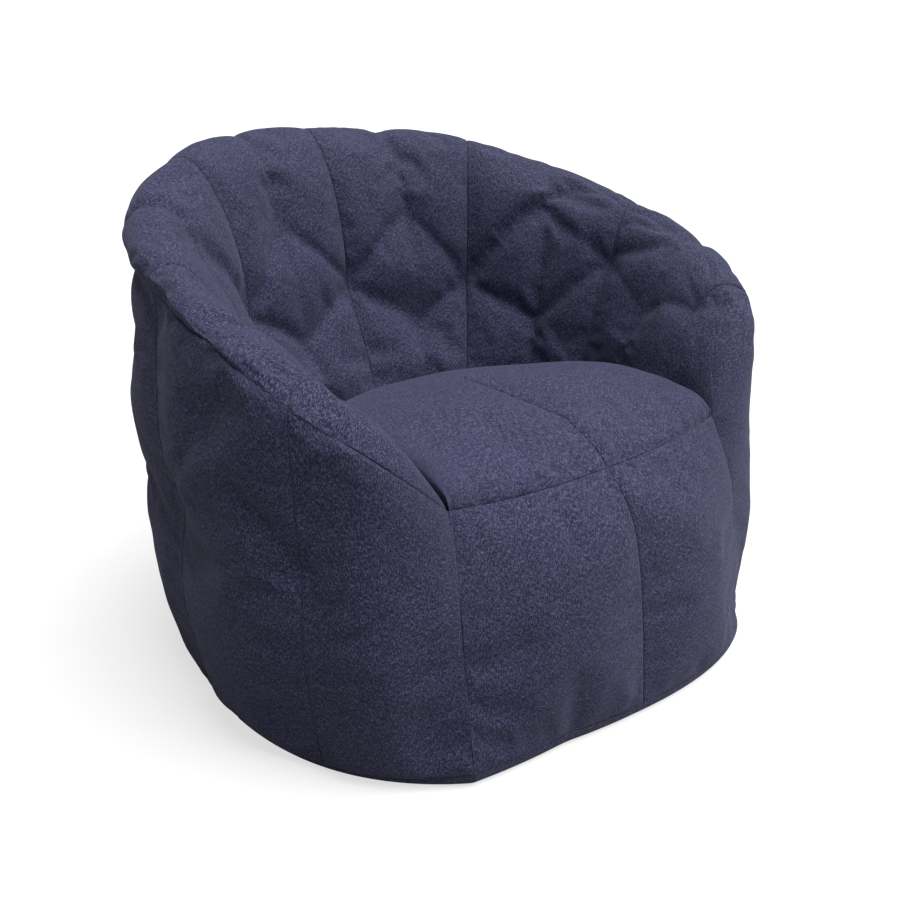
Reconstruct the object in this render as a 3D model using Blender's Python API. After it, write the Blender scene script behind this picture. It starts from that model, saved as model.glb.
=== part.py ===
"""Tub-shaped bean bag chair: a padded wall wraps round a crowned seat, both sewn from panels.

Metres, +Z up, the sitter faces -Y.  The origin is on the floor under the middle of the chair.
Stations are the upright seams of the wall, numbered 0 at the middle of the back and 4 at the
front corners.  Rings are the level lines of the wall, from the floor seam up the outside,
over the rim and down the inside to the seat.
"""

import math

import bmesh
import bpy
import numpy as np
from mathutils import Vector

# The wall's plan is drawn about this upright axis, a little forward of the middle.
WALL_AXIS_Y = -0.0725

# Each ring: the angle of its stations from straight back, then (radius, height) at each.
SEAM_ANGLES = (0, 40, 82, 114, 135)
OUTER_RINGS = {
    "floor_seam": ((0.440, 0.010), (0.440, 0.010), (0.432, 0.010), (0.434, 0.012), (0.420, 0.022)),
    "belly": ((0.482, 0.200), (0.476, 0.200), (0.462, 0.200), (0.460, 0.190), (0.402, 0.200)),
    "shoulder": ((0.484, 0.440), (0.478, 0.430), (0.464, 0.410), (0.459, 0.370), (0.378, 0.300)),
    "rim_seam": ((0.466, 0.590), (0.462, 0.588), (0.454, 0.575), (0.458, 0.495), (0.356, 0.348)),
}
INNER_RINGS = {
    "rim_seam": OUTER_RINGS["rim_seam"],
    "rim_outside": ((0.476, 0.680), (0.472, 0.662), (0.462, 0.603), (0.454, 0.516), (0.356, 0.348)),
    "rim_top": ((0.427, 0.733), (0.424, 0.709), (0.424, 0.620), (0.414, 0.522), (0.356, 0.348)),
    "rim_inside": ((0.352, 0.660), (0.368, 0.645), (0.376, 0.580), (0.366, 0.494), (0.356, 0.348)),
    "lumbar": ((0.305, 0.500), (0.322, 0.480), (0.322, 0.455), (0.318, 0.428), (0.356, 0.348)),
    "seat_join": ((0.235, 0.300), (0.255, 0.300), (0.280, 0.325), (0.285, 0.340), (0.356, 0.348)),
}
CORNER_ANGLES = {"floor_seam": 140, "belly": 138, "shoulder": 136.5}
CORNER_STATION = 4
NARROWEST_RADIUS = 0.24
# The arm panels stop just short of the front corner, where the rings of the wall's inside meet.
LAST_STATION = {"outer": 3.95, "inner": 3.80}

WALL_GIRTH = 1.3  # round the wall's section, from the floor seam over the rim to the seat

FABRIC = 0.003
SEAM_GAP = 0.0009
FILL_CLEARANCE = 0.007
FILL_STATION = 3.62
FILL_BOTTOM = 0.013

# The divider's end stations, and how far below the seat join its upper edge is.
DIVIDER_STATION = 3.72
DIVIDER_DROP = 0.012
DIVIDER_THICK = 0.0012

# The front seam and front face at the middle, and the height of the seat's crown.
FRONT_SEAM_MIDDLE = (-0.3475, 0.342)
FRONT_FACE = ((-0.3475, 0.342), (-0.388, 0.292), (-0.4095, 0.215), (-0.4175, 0.120), (-0.4185, 0.022))
SEAT_CROWN = 0.066

FLOOR_ROUND_IN = 0.016  # how far in from the floor seam the base becomes flat
# The base's rounded edge: share of the way in, and share of the floor seam's height.
FLOOR_ROUND = ((0.0, 0.95), (0.16, 0.50), (0.47, 0.16), (1.0, 0.0))

# Fill closures: two coil zips across the base, one to each bead chamber.
ZIPS = {"seat_zip": -0.080, "wall_zip": 0.255}
ZIP_LENGTH = {"seat_zip": 0.400, "wall_zip": 0.400}
ZIP_SLOT = 0.016
ZIP_SLOT_END = 0.012
TAPE_WIDTH = 0.014
TAPE_THICK = 0.0008
TAPE_Z = 0.0036
COIL_WIDTH = 0.0022
COIL_HEIGHT = 0.0016
COIL_SPLIT = 0.0016
SLIDER_LENGTH = 0.012
SLIDER_WIDTH = 0.0105
SLIDER_PLATE = 0.0010
SLIDER_NECK = 0.0009
SLIDER_BOTTOM = 0.0014
SLIDER_TOP = 0.0076
STOP_LENGTH = 0.004
STOP_GAP = 0.0004
STOP_RISE = 0.0002

# Ties: flat tapes across the inside of the wall, one at each upright seam.
TIE_STATIONS = (-3, -2, -1, 0, 1, 2, 3)
TIE_HEIGHT = 0.050
TIE_THICK = 0.0015
TIE_LEVEL = {0: 0.480, 1: 0.465, 2: 0.440, 3: 0.400}

UPHOLSTERY = (0.078, 0.077, 0.150)


def clear_scene():
    for old in list(bpy.data.objects):
        bpy.data.objects.remove(old)


def make_material(name, color, roughness, metallic=0.0):
    material = bpy.data.materials.new(name)
    material.use_nodes = True
    shader = material.node_tree.nodes["Principled BSDF"]
    shader.inputs["Base Color"].default_value = (*color, 1)
    shader.inputs["Roughness"].default_value = roughness
    shader.inputs["Metallic"].default_value = metallic
    return material


def spline(knots, values, at):
    """A natural cubic spline through the values, read at each point of `at`."""
    knots, values = np.asarray(knots, float), np.asarray(values, float)
    step = np.diff(knots)
    last = len(knots) - 1
    matrix, right = np.zeros((last + 1, last + 1)), np.zeros_like(values)
    matrix[0, 0] = matrix[last, last] = 1
    for i in range(1, last):
        matrix[i, i - 1 : i + 2] = step[i - 1], 2 * (step[i - 1] + step[i]), step[i]
        right[i] = 6 * ((values[i + 1] - values[i]) / step[i] - (values[i] - values[i - 1]) / step[i - 1])
    bend = np.linalg.solve(matrix, right)
    i = np.clip(np.searchsorted(knots, at, side="right") - 1, 0, last - 1)
    a = ((knots[i + 1] - at) / step[i])[:, None]
    b = 1 - a
    wide = (step[i] ** 2)[:, None] / 6
    return a * values[i] + b * values[i + 1] + ((a**3 - a) * bend[i] + (b**3 - b) * bend[i + 1]) * wide


def ring_points(name, rings, stations):
    """The points of one ring at these stations."""
    angles = list(SEAM_ANGLES)
    angles[CORNER_STATION] = CORNER_ANGLES.get(name, angles[CORNER_STATION])
    knots = range(-CORNER_STATION, CORNER_STATION + 1)
    rows = [(math.copysign(math.radians(angles[abs(k)]), k), *rings[name][abs(k)]) for k in knots]
    angle, radius, height = spline(list(knots), rows, np.asarray(stations, float)).T
    return np.stack([radius * np.sin(angle), WALL_AXIS_Y + radius * np.cos(angle), height], axis=-1)


def wall_grid(rings, stations, levels):
    """Points of the wall at each station and each level, 0 at the first ring and 1 at the last."""
    whole = np.linspace(-CORNER_STATION, CORNER_STATION, 33)
    at_back = np.array([ring_points(name, rings, whole)[16] for name in rings])
    spacing = np.sqrt(np.linalg.norm(np.diff(at_back, axis=0), axis=-1))
    knots = np.concatenate([[0], np.cumsum(spacing)]) / spacing.sum()
    lines = np.array([ring_points(name, rings, stations) for name in rings])
    levels = np.asarray(levels, float)
    return spline(knots, lines.reshape(len(rings), -1), levels).reshape(len(levels), -1, 3)


def all_rings():
    rings = dict(OUTER_RINGS)
    rings.update(INNER_RINGS)
    return rings


def full_knots():
    """The level of each ring on the whole wall, from the floor seam to the seat."""
    rings = all_rings()
    at_back = np.array([ring_points(name, rings, [0.0])[0] for name in rings])
    spacing = np.sqrt(np.linalg.norm(np.diff(at_back, axis=0), axis=-1))
    return dict(zip(rings, np.concatenate([[0], np.cumsum(spacing)]) / spacing.sum()))


def seat_grid(across, along):
    """The seat top: `across` runs -1 to 1 from corner to corner, `along` 0 to 1 from front seam to back."""
    rows = []
    join = ring_points("seat_join", INNER_RINGS, CORNER_STATION * np.asarray(across))
    corner = ring_points("seat_join", INNER_RINGS, [CORNER_STATION])[0]
    for v in along:
        row = []
        for u, back in zip(across, join):
            row.append(seat_point(u, v, back, corner))
        rows.append(row)
    return np.array(rows)


def front_seam(u, corner):
    """A point of the seam along the seat's front edge."""
    side = math.sin(u * math.pi / 2)
    out = 1 - abs(side) ** 2.5
    y = corner[1] + (FRONT_SEAM_MIDDLE[0] - corner[1]) * out
    z = corner[2] + (FRONT_SEAM_MIDDLE[1] - corner[2]) * out
    return np.array([corner[0] * side, y, z])


def seat_point(u, v, back, corner):
    front = front_seam(u, corner)
    point = front + (back - front) * v
    point[2] += SEAT_CROWN * math.sqrt(max(0.0, math.sin(math.pi * v) * math.cos(u * math.pi / 2)))
    return point


def front_grid(across, down):
    """The front face: `across` -1 to 1 from corner seam to corner seam, `down` 0 to 1 from seat to floor."""
    heights = [z for _, z in FRONT_FACE]
    spacing = np.linalg.norm(np.diff(np.array(FRONT_FACE), axis=0), axis=-1)
    knots = np.concatenate([[0], np.cumsum(spacing)]) / spacing.sum()
    middle = spline(knots, np.array(FRONT_FACE), np.asarray(down, float))
    names = ("rim_seam", "shoulder", "belly", "floor_seam")
    corner_line = np.array([ring_points(name, OUTER_RINGS, [CORNER_STATION])[0] for name in names])
    corner_knots = (heights[0] - corner_line[:, 2]) / (heights[0] - heights[-1])
    corner_knots[0] = 0
    corner_knots[-1] = 1
    corner = spline(corner_knots, corner_line, np.asarray(down, float))
    rows = []
    for (y, z), side in zip(middle, corner):
        row = []
        for u in across:
            s = math.sin(u * math.pi / 2)
            out = 1 - abs(s) ** 2.5
            row.append((side[0] * s, side[1] + (y - side[1]) * out, side[2] + (z - side[2]) * out))
        rows.append(row)
    return np.array(rows)


def mesh_object(name, points, faces, material):
    mesh = bpy.data.meshes.new(name)
    mesh.from_pydata([tuple(p) for p in points], [], faces)
    mesh.materials.append(material)
    mesh.shade_smooth()
    mesh.set_sharp_from_angle(angle=math.radians(40))
    made = bpy.data.objects.new(name, mesh)
    bpy.context.scene.collection.objects.link(made)
    return made


def grid_faces(rows, columns, flip=False):
    faces = []
    for r in range(rows - 1):
        for c in range(columns - 1):
            face = (r * columns + c, r * columns + c + 1, (r + 1) * columns + c + 1, (r + 1) * columns + c)
            faces.append(face[::-1] if flip else face)
    return faces


def sewn_panel(name, grid, material, flip=False, thickness=FABRIC):
    """A fabric panel: an open surface given its thickness on the inside."""
    rows, columns = grid.shape[:2]
    panel = mesh_object(name, grid.reshape(-1, 3), grid_faces(rows, columns, flip), material)
    solid = panel.modifiers.new("fabric_thickness", "SOLIDIFY")
    solid.thickness = thickness
    solid.offset = -1
    solid.use_even_offset = True
    return panel


def box_object(name, low, high, material):
    body = bmesh.new()
    bmesh.ops.create_cube(body, size=1)
    low, high = Vector(low), Vector(high)
    for vert in body.verts:
        vert.co = Vector(a + (b - a) * (c + 0.5) for a, b, c in zip(low, high, vert.co))
    mesh = bpy.data.meshes.new(name)
    body.to_mesh(mesh)
    body.free()
    mesh.materials.append(material)
    made = bpy.data.objects.new(name, mesh)
    bpy.context.scene.collection.objects.link(made)
    return made


def side_word(station):
    return "left" if station < 0 else "right"


def panel_spans(face):
    """Name ending, first and last station of each of a face's eight upright panels, with their seam gaps."""
    for sign in (-1, 1):
        for k in range(CORNER_STATION):
            wide = math.radians(SEAM_ANGLES[k + 1] - SEAM_ANGLES[k]) * NARROWEST_RADIUS
            gap = SEAM_GAP / 2 / wide
            low, high = sorted((sign * (k + gap), sign * min(k + 1 - gap, LAST_STATION[face])))
            yield f"{side_word(sign)}_{k + 1}", low, high


def make_wall(fabric):
    knots = full_knots()
    rings = all_rings()
    seam_level = knots["rim_seam"]
    gap = SEAM_GAP / WALL_GIRTH
    outer_levels = np.linspace(gap, seam_level - gap / 2, 9)
    inner_levels = np.linspace(seam_level + gap / 2, 1 - gap, 13)
    arm_levels = np.linspace(seam_level + 5 * gap, 1 - 6 * gap, 13)
    for ending, low, high in panel_spans("outer"):
        grid = wall_grid(rings, np.linspace(low, high, 6), outer_levels)
        sewn_panel(f"wall_outer_{ending}", grid, fabric, flip=True)
    for ending, low, high in panel_spans("inner"):
        levels = arm_levels if ending.endswith(str(CORNER_STATION)) else inner_levels
        grid = wall_grid(rings, np.linspace(low, high, 6), levels)
        sewn_panel(f"wall_inner_{ending}", grid, fabric, flip=True)


def make_seat(fabric):
    for word, low, high in (("left", -0.955, -0.002), ("right", 0.002, 0.955)):
        across = np.linspace(low, high, 9)
        along = 0.5 - 0.5 * np.cos(np.linspace(0.04, 0.92, 9) * math.pi)
        sewn_panel(f"seat_{word}", seat_grid(across, along), fabric, flip=False)


def make_front(fabric):
    for word, low, high in (("left", -0.93, -0.0015), ("right", 0.0015, 0.93)):
        grid = front_grid(np.linspace(low, high, 7), np.linspace(0.012, 0.995, 8))
        sewn_panel(f"front_{word}", grid, fabric, flip=True)


def floor_outline(count_round, count_front):
    """The closed seam line round the bottom, anticlockwise seen from above."""
    stations = np.linspace(-CORNER_STATION, CORNER_STATION, count_round)
    around = ring_points("floor_seam", OUTER_RINGS, stations)[::-1]
    front = front_grid(np.linspace(-1, 1, count_front), [1.0])[0][1:-1]
    return np.concatenate([around, front])


def inset_outline(outline, distance, height_share):
    """The outline moved inwards by a distance, and lowered to a share of its own height."""
    ahead = np.roll(outline, -1, axis=0) - np.roll(outline, 1, axis=0)
    ahead[:, 2] = 0
    ahead /= np.linalg.norm(ahead, axis=1)[:, None]
    inward = np.stack([-ahead[:, 1], ahead[:, 0], np.zeros(len(ahead))], axis=1)
    moved = outline + inward * distance
    moved[:, 2] = outline[:, 2] * height_share
    return moved


def make_base(fabric):
    """The base: flat where it stands, rounding up to the floor seam, in three panels between the zips."""
    outline = floor_outline(41, 11)
    loops = [inset_outline(outline, inset * FLOOR_ROUND_IN, share) for inset, share in FLOOR_ROUND]
    count = len(outline)
    cuts = [-1.0] + list(ZIPS.values()) + [1.0]
    for i, word in enumerate(("front", "middle", "rear")):
        body = bmesh.new()
        rows = [[body.verts.new(p) for p in loop] for loop in loops]
        for upper, lower in zip(rows, rows[1:]):
            for c in range(count):
                body.faces.new((upper[c], lower[c], lower[(c + 1) % count], upper[(c + 1) % count]))
        body.faces.new(rows[-1][::-1])
        keep_between(body, cuts[i] + SEAM_GAP / 2, cuts[i + 1] - SEAM_GAP / 2)
        for zip_name, zip_y in ZIPS.items():
            cut_zip_slot(body, zip_y, ZIP_LENGTH[zip_name] / 2 + ZIP_SLOT_END)
        bmesh.ops.recalc_face_normals(body, faces=body.faces)
        if max(body.faces, key=lambda f: f.calc_area()).normal.z > 0:
            bmesh.ops.reverse_faces(body, faces=body.faces)
        mesh = bpy.data.meshes.new(f"base_{word}")
        body.to_mesh(mesh)
        body.free()
        mesh.materials.append(fabric)
        panel = bpy.data.objects.new(f"base_{word}", mesh)
        bpy.context.scene.collection.objects.link(panel)
        solid = panel.modifiers.new("fabric_thickness", "SOLIDIFY")
        solid.thickness = FABRIC
        solid.offset = -1
        solid.use_even_offset = True


def keep_between(body, low_y, high_y):
    for y, normal in ((low_y, (0, -1, 0)), (high_y, (0, 1, 0))):
        everything = body.verts[:] + body.edges[:] + body.faces[:]
        cut = {"dist": 1e-6, "plane_co": (0, y, 0), "plane_no": normal, "clear_outer": True}
        bmesh.ops.bisect_plane(body, geom=everything, **cut)


def cut_zip_slot(body, zip_y, half_length):
    for x in (-half_length, half_length):
        everything = body.verts[:] + body.edges[:] + body.faces[:]
        bmesh.ops.bisect_plane(body, geom=everything, dist=1e-6, plane_co=(x, 0, 0), plane_no=(1, 0, 0))
    for y in (zip_y - ZIP_SLOT / 2, zip_y + ZIP_SLOT / 2):
        everything = body.verts[:] + body.edges[:] + body.faces[:]
        bmesh.ops.bisect_plane(body, geom=everything, dist=1e-6, plane_co=(0, y, 0), plane_no=(0, 1, 0))
    inside = []
    for face in body.faces:
        middle = face.calc_center_median()
        if abs(middle.x) < half_length and abs(middle.y - zip_y) < ZIP_SLOT / 2:
            inside.append(face)
    bmesh.ops.delete(body, geom=inside, context="FACES")


def make_divider(lining):
    """The upright sheet between the seat's beads and the wall's, sewn along the seat join and the base."""
    stations = np.linspace(-DIVIDER_STATION, DIVIDER_STATION, 25)
    top = ring_points("seat_join", INNER_RINGS, stations)
    top[:, 2] -= DIVIDER_DROP
    rows = []
    for share in np.linspace(0, 1, 4):
        row = top.copy()
        row[:, 2] = top[:, 2] * (1 - share) + (FILL_BOTTOM - 0.0005) * share
        rows.append(row)
    sewn_panel("chamber_divider", np.array(rows), lining, flip=False, thickness=DIVIDER_THICK)


def make_wall_fill(beads):
    """The beads in the wall, as one solid inside the panels, with slots where the ties pass through."""
    knots = full_knots()
    rings = all_rings()
    outside_levels = np.linspace(0.01, knots["rim_seam"], 7)
    inside_levels = np.linspace(knots["rim_seam"] + 0.04, 0.985, 11)
    levels = np.concatenate([outside_levels, inside_levels])
    stations = np.linspace(-FILL_STATION, FILL_STATION, 31)
    step = 1e-3
    skin = wall_grid(rings, stations, levels)
    along = wall_grid(rings, stations + step, levels) - wall_grid(rings, stations - step, levels)
    up = wall_grid(rings, stations, np.minimum(levels + step, 1)) - wall_grid(rings, stations, levels - step)
    inward = np.cross(along, up)
    inward /= np.linalg.norm(inward, axis=-1)[..., None]
    skin = skin + inward * FILL_CLEARANCE
    skin[0] += inward[0] * FLOOR_ROUND_IN
    skin[0, :, 2] = FILL_BOTTOM
    foot = ring_points("seat_join", INNER_RINGS, stations)
    outwards = foot - np.array([0, WALL_AXIS_Y, 0])
    outwards[:, 2] = 0
    outwards /= np.linalg.norm(outwards, axis=1)[:, None]
    foot = foot + outwards * 0.005
    upper_foot = foot.copy()
    upper_foot[:, 2] -= 0.016
    lower_foot = foot.copy()
    lower_foot[:, 2] = FILL_BOTTOM
    section_rows = np.concatenate([skin, upper_foot[None], lower_foot[None]])
    count, columns = section_rows.shape[:2]
    body = bmesh.new()
    rows = [[body.verts.new(p) for p in row] for row in section_rows]
    for r in range(count):
        below, above = rows[r], rows[(r + 1) % count]
        for c in range(columns - 1):
            body.faces.new((below[c], above[c], above[c + 1], below[c + 1]))
    body.faces.new([row[0] for row in rows])
    body.faces.new([row[-1] for row in rows][::-1])
    bmesh.ops.recalc_face_normals(body, faces=body.faces)
    mesh = bpy.data.meshes.new("bead_fill_wall")
    body.to_mesh(mesh)
    body.free()
    mesh.materials.append(beads)
    fill = bpy.data.objects.new("bead_fill_wall", mesh)
    bpy.context.scene.collection.objects.link(fill)
    return fill


def room_for_tie(station, height):
    """How far from the wall's axis a tie can start and end at this station, centred on this height."""
    levels = np.linspace(0, 1, 400)
    line = wall_grid(all_rings(), [station], levels)[:, 0]
    radius = np.hypot(line[:, 0], line[:, 1] - WALL_AXIS_Y)
    top = int(np.argmax(line[:, 2]))
    heights = height + np.linspace(-0.5, 0.5, 5) * TIE_HEIGHT
    outer = np.interp(heights, line[:top, 2], radius[:top]).min()
    inner = np.interp(heights, line[top:, 2][::-1], radius[top:][::-1]).max()
    return inner, outer


def make_ties(webbing, fill):
    for station in TIE_STATIONS:
        height = TIE_LEVEL[abs(station)]
        inner, outer = room_for_tie(station, height)
        turn = math.copysign(math.radians(SEAM_ANGLES[abs(station)]), station)
        word = "middle" if station == 0 else f"{side_word(station)}_{abs(station)}"
        reach = inner + FABRIC + 0.003, outer - FABRIC - 0.003
        tie = radial_box(f"wall_tie_{word}", reach, TIE_THICK, height, TIE_HEIGHT, turn, webbing)
        slot_reach = inner - 0.03, outer + 0.03
        slot_size = (TIE_THICK + 0.003, height, TIE_HEIGHT + 0.004)
        cutter = radial_box(f"slot_{word}", slot_reach, *slot_size, turn, webbing)
        cutter.hide_render = True
        cutter.display_type = "WIRE"
        cut = fill.modifiers.new(f"slot_{word}", "BOOLEAN")
        cut.operation = "DIFFERENCE"
        cut.object = cutter
        cut.solver = "EXACT"


def radial_box(name, reach, thick, height, tall, turn, material):
    """A box that runs straight out from the wall's axis at an angle from the back."""
    low = (-thick / 2, reach[0], height - tall / 2)
    high = (thick / 2, reach[1], height + tall / 2)
    made = box_object(name, low, high, material)
    made.location = (0, WALL_AXIS_Y, 0)
    made.rotation_euler = (0, 0, -turn)
    return made


def make_seat_fill(beads):
    """The beads under the seat, one solid inside the divider, the seat panels and the front panels."""
    across = np.linspace(-1, 1, 25)
    join = ring_points("seat_join", INNER_RINGS, CORNER_STATION * across * 0.90)
    centre = np.array([0.0, -0.12, 0.0])
    outline_back = join[::-1]
    face = front_grid(np.linspace(-0.80, 0.80, 9), np.linspace(0.05, 0.97, 7))
    rows = []
    for share, front_row in zip(np.linspace(0, 1, 7), face):
        row = np.concatenate([outline_back, front_row])
        row = centre + (row - centre) * (1, 1, 0) * 0.972 + (row - centre) * (0, 0, 1)
        top = np.concatenate([outline_back[:, 2], face[0, :, 2]]) - 0.014
        row[:, 2] = top * (1 - share) + FILL_BOTTOM * share
        rows.append(row)
    crown_rows = []
    for shrink in (0.80, 0.55, 0.28):
        row = centre + (rows[0] - centre) * (shrink, shrink, 1)
        row[:, 2] = rows[0][:, 2] + (SEAT_CROWN - 0.022) * math.sqrt(1 - shrink**2)
        crown_rows.append(row)
    levels = crown_rows[::-1] + rows
    body = bmesh.new()
    made = [[body.verts.new(p) for p in row] for row in levels]
    count = len(made[0])
    for upper, lower in zip(made, made[1:]):
        for c in range(count):
            body.faces.new((upper[c], lower[c], lower[(c + 1) % count], upper[(c + 1) % count]))
    body.faces.new(made[0])
    body.faces.new(made[-1][::-1])
    bmesh.ops.recalc_face_normals(body, faces=body.faces)
    mesh = bpy.data.meshes.new("bead_fill_seat")
    body.to_mesh(mesh)
    body.free()
    mesh.materials.append(beads)
    fill = bpy.data.objects.new("bead_fill_seat", mesh)
    bpy.context.scene.collection.objects.link(fill)


def make_zip(name, zip_y, length, tape_material, coil_material, metal):
    """A coil zip along X: two tapes on the inside of the base, two coils, end stops and a slider."""
    half = length / 2
    coil_low = TAPE_Z + TAPE_THICK / 2 - COIL_HEIGHT / 2
    for word, sign in (("front", -1), ("rear", 1)):
        near = zip_y + sign * (COIL_SPLIT / 2 + COIL_WIDTH + 0.0003)
        far = zip_y + sign * (COIL_SPLIT / 2 + COIL_WIDTH + TAPE_WIDTH)
        low, high = sorted((near, far))
        low_point = (-half, low, TAPE_Z)
        high_point = (half, high, TAPE_Z + TAPE_THICK)
        box_object(f"{name}_tape_{word}", low_point, high_point, tape_material)
        inner = zip_y + sign * COIL_SPLIT / 2
        low, high = sorted((inner, inner + sign * COIL_WIDTH))
        coil_end = half - STOP_LENGTH - STOP_GAP
        low_point = (-coil_end, low, coil_low)
        high_point = (coil_end, high, coil_low + COIL_HEIGHT)
        box_object(f"{name}_coil_{word}", low_point, high_point, coil_material)
    for word, x in (("start", -half), ("end", half - STOP_LENGTH)):
        reach = COIL_SPLIT / 2 + COIL_WIDTH
        low_point = (x, zip_y - reach, coil_low - STOP_RISE)
        high_point = (x + STOP_LENGTH, zip_y + reach, coil_low + COIL_HEIGHT + STOP_RISE)
        box_object(f"{name}_stop_{word}", low_point, high_point, metal)
    make_slider(f"{name}_slider", -half + STOP_LENGTH + 0.001, zip_y, metal)


def make_slider(name, start_x, zip_y, metal):
    """Two shield-shaped plates joined by a thin neck that runs between the coils; it has no pull tab."""
    outline = (
        (0.0, 0.28), (0.10, 0.42), (0.30, 0.50), (0.55, 0.46), (0.80, 0.36), (1.0, 0.34),
    )
    half = [(x * SLIDER_LENGTH, y * SLIDER_WIDTH) for x, y in outline]
    loop = half + [(x, -y) for x, y in reversed(half)]
    levels = (
        (SLIDER_BOTTOM, 1.0), (SLIDER_BOTTOM + SLIDER_PLATE, 1.0),
        (SLIDER_BOTTOM + SLIDER_PLATE, 0.0), (SLIDER_TOP - SLIDER_PLATE, 0.0),
        (SLIDER_TOP - SLIDER_PLATE, 1.0), (SLIDER_TOP, 1.0),
    )
    body = bmesh.new()
    rows = []
    for z, wide in levels:
        row = []
        for x, y in loop:
            y_here = y if wide else math.copysign(SLIDER_NECK / 2, y)
            x_here = x if wide else SLIDER_LENGTH * 0.25 + x * 0.5
            row.append(body.verts.new((x_here, y_here, z)))
        rows.append(row)
    count = len(loop)
    for lower, upper in zip(rows, rows[1:]):
        for c in range(count):
            body.faces.new((lower[c], lower[(c + 1) % count], upper[(c + 1) % count], upper[c]))
    body.faces.new(rows[0][::-1])
    body.faces.new(rows[-1])
    bmesh.ops.recalc_face_normals(body, faces=body.faces)
    mesh = bpy.data.meshes.new(name)
    body.to_mesh(mesh)
    body.free()
    mesh.materials.append(metal)
    slider = bpy.data.objects.new(name, mesh)
    slider.location = (start_x, zip_y, 0)
    bpy.context.scene.collection.objects.link(slider)


clear_scene()
upholstery = make_material("upholstery", UPHOLSTERY, 0.85)
lining = make_material("lining", (0.16, 0.16, 0.18), 0.9)
webbing = make_material("webbing", (0.03, 0.03, 0.04), 0.8)
beads = make_material("polystyrene_beads", (0.85, 0.85, 0.85), 0.6)
zip_tape = make_material("zip_tape", (0.02, 0.02, 0.04), 0.8)
zip_coil = make_material("zip_coil", (0.02, 0.02, 0.04), 0.4)
zip_metal = make_material("zip_metal", (0.35, 0.35, 0.36), 0.35, 1.0)

make_wall(upholstery)
make_seat(upholstery)
make_front(upholstery)
make_base(upholstery)
make_divider(lining)
make_ties(webbing, make_wall_fill(beads))
make_seat_fill(beads)
for zip_name, zip_y in ZIPS.items():
    make_zip(zip_name, zip_y, ZIP_LENGTH[zip_name], zip_tape, zip_coil, zip_metal)
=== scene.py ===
import math

import bmesh
import bpy
import numpy as np
from mathutils.kdtree import KDTree
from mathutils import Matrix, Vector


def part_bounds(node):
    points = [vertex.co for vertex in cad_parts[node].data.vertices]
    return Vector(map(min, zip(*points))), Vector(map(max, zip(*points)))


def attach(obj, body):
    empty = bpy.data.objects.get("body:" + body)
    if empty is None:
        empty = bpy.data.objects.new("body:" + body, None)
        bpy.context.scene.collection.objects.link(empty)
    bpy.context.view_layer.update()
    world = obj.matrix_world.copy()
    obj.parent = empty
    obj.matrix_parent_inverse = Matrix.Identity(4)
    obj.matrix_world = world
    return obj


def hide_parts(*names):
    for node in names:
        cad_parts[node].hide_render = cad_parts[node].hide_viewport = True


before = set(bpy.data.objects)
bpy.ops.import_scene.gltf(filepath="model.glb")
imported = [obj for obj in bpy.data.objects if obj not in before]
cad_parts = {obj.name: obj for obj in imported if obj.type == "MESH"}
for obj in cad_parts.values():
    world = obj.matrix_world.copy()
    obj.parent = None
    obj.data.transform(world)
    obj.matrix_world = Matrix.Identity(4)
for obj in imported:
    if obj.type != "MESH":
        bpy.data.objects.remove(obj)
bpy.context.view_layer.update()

scene = bpy.context.scene


def new_object(name, data):
    made = bpy.data.objects.new(name, data)
    scene.collection.objects.link(made)
    return made


# ---------------------------------------------------------------------------------------------
# Camera.  It looks down on the chair from the front left, from a little above an adult's waist.

CAMERA_PLACE = (-0.8845, -1.0789, 0.820)
CAMERA_TURN = math.radians(-40.0)
CAMERA_TILT = math.radians(90.0 - 21.903)
CAMERA_LENS = 37.806

camera_data = bpy.data.cameras.new("camera")
camera_data.lens = CAMERA_LENS
camera_data.sensor_width = 36.0
camera_data.clip_start = 0.01
camera = new_object("camera", camera_data)
camera.location = CAMERA_PLACE
camera.rotation_euler = (CAMERA_TILT, 0.0, CAMERA_TURN)
scene.camera = camera


# ---------------------------------------------------------------------------------------------
# Upholstery cloth.  A heathered navy plain weave of blended light and dark yarns, brushed a
# little, so it is matt with a soft bloom where it turns away.  It is cut with the warp upright.

YARN_PITCH = 0.0014
STREAK_LENGTH = 0.0055  # how far a blended yarn keeps its shade
YARN_DARK = (0.0035, 0.0035, 0.0200)
YARN_MID = (0.0160, 0.0160, 0.0490)
YARN_LIGHT = (0.0850, 0.0850, 0.1500)


def group_socket(group, way, kind, name, value=None):
    socket = group.interface.new_socket(name=name, in_out=way, socket_type=kind)
    if value is not None:
        socket.default_value = value


def node(tree, kind, inputs=None, **settings):
    """A node with its settings, and its inputs as values or as sockets to link from."""
    made = tree.nodes.new(kind)
    for name, value in settings.items():
        setattr(made, name, value)
    for name, value in (inputs or {}).items():
        if isinstance(value, bpy.types.NodeSocket):
            tree.links.new(value, made.inputs[name])
        else:
            made.inputs[name].default_value = value
    return made


def calc(tree, operation, a, b=0.0, c=None):
    inputs = {0: a, 1: b} if c is None else {0: a, 1: b, 2: c}
    return node(tree, "ShaderNodeMath", inputs, operation=operation).outputs[0]


def vector_calc(tree, operation, a, b):
    inputs = {0: a, "Scale" if operation == "SCALE" else 1: b}
    return node(tree, "ShaderNodeVectorMath", inputs, operation=operation).outputs[0]


def noise(tree, place, scale, detail=2.0):
    return node(tree, "ShaderNodeTexNoise", {"Vector": place, "Scale": scale, "Detail": detail}).outputs


def map_range(tree, value, low, high, to_low=0.0, to_high=1.0):
    inputs = {"Value": value, "From Min": low, "From Max": high, "To Min": to_low, "To Max": to_high}
    return node(tree, "ShaderNodeMapRange", inputs).outputs[0]


def blend_colors(tree, share, a, b):
    return node(tree, "ShaderNodeMix", {0: share, 6: a, 7: b}, data_type="RGBA").outputs[2]


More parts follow.
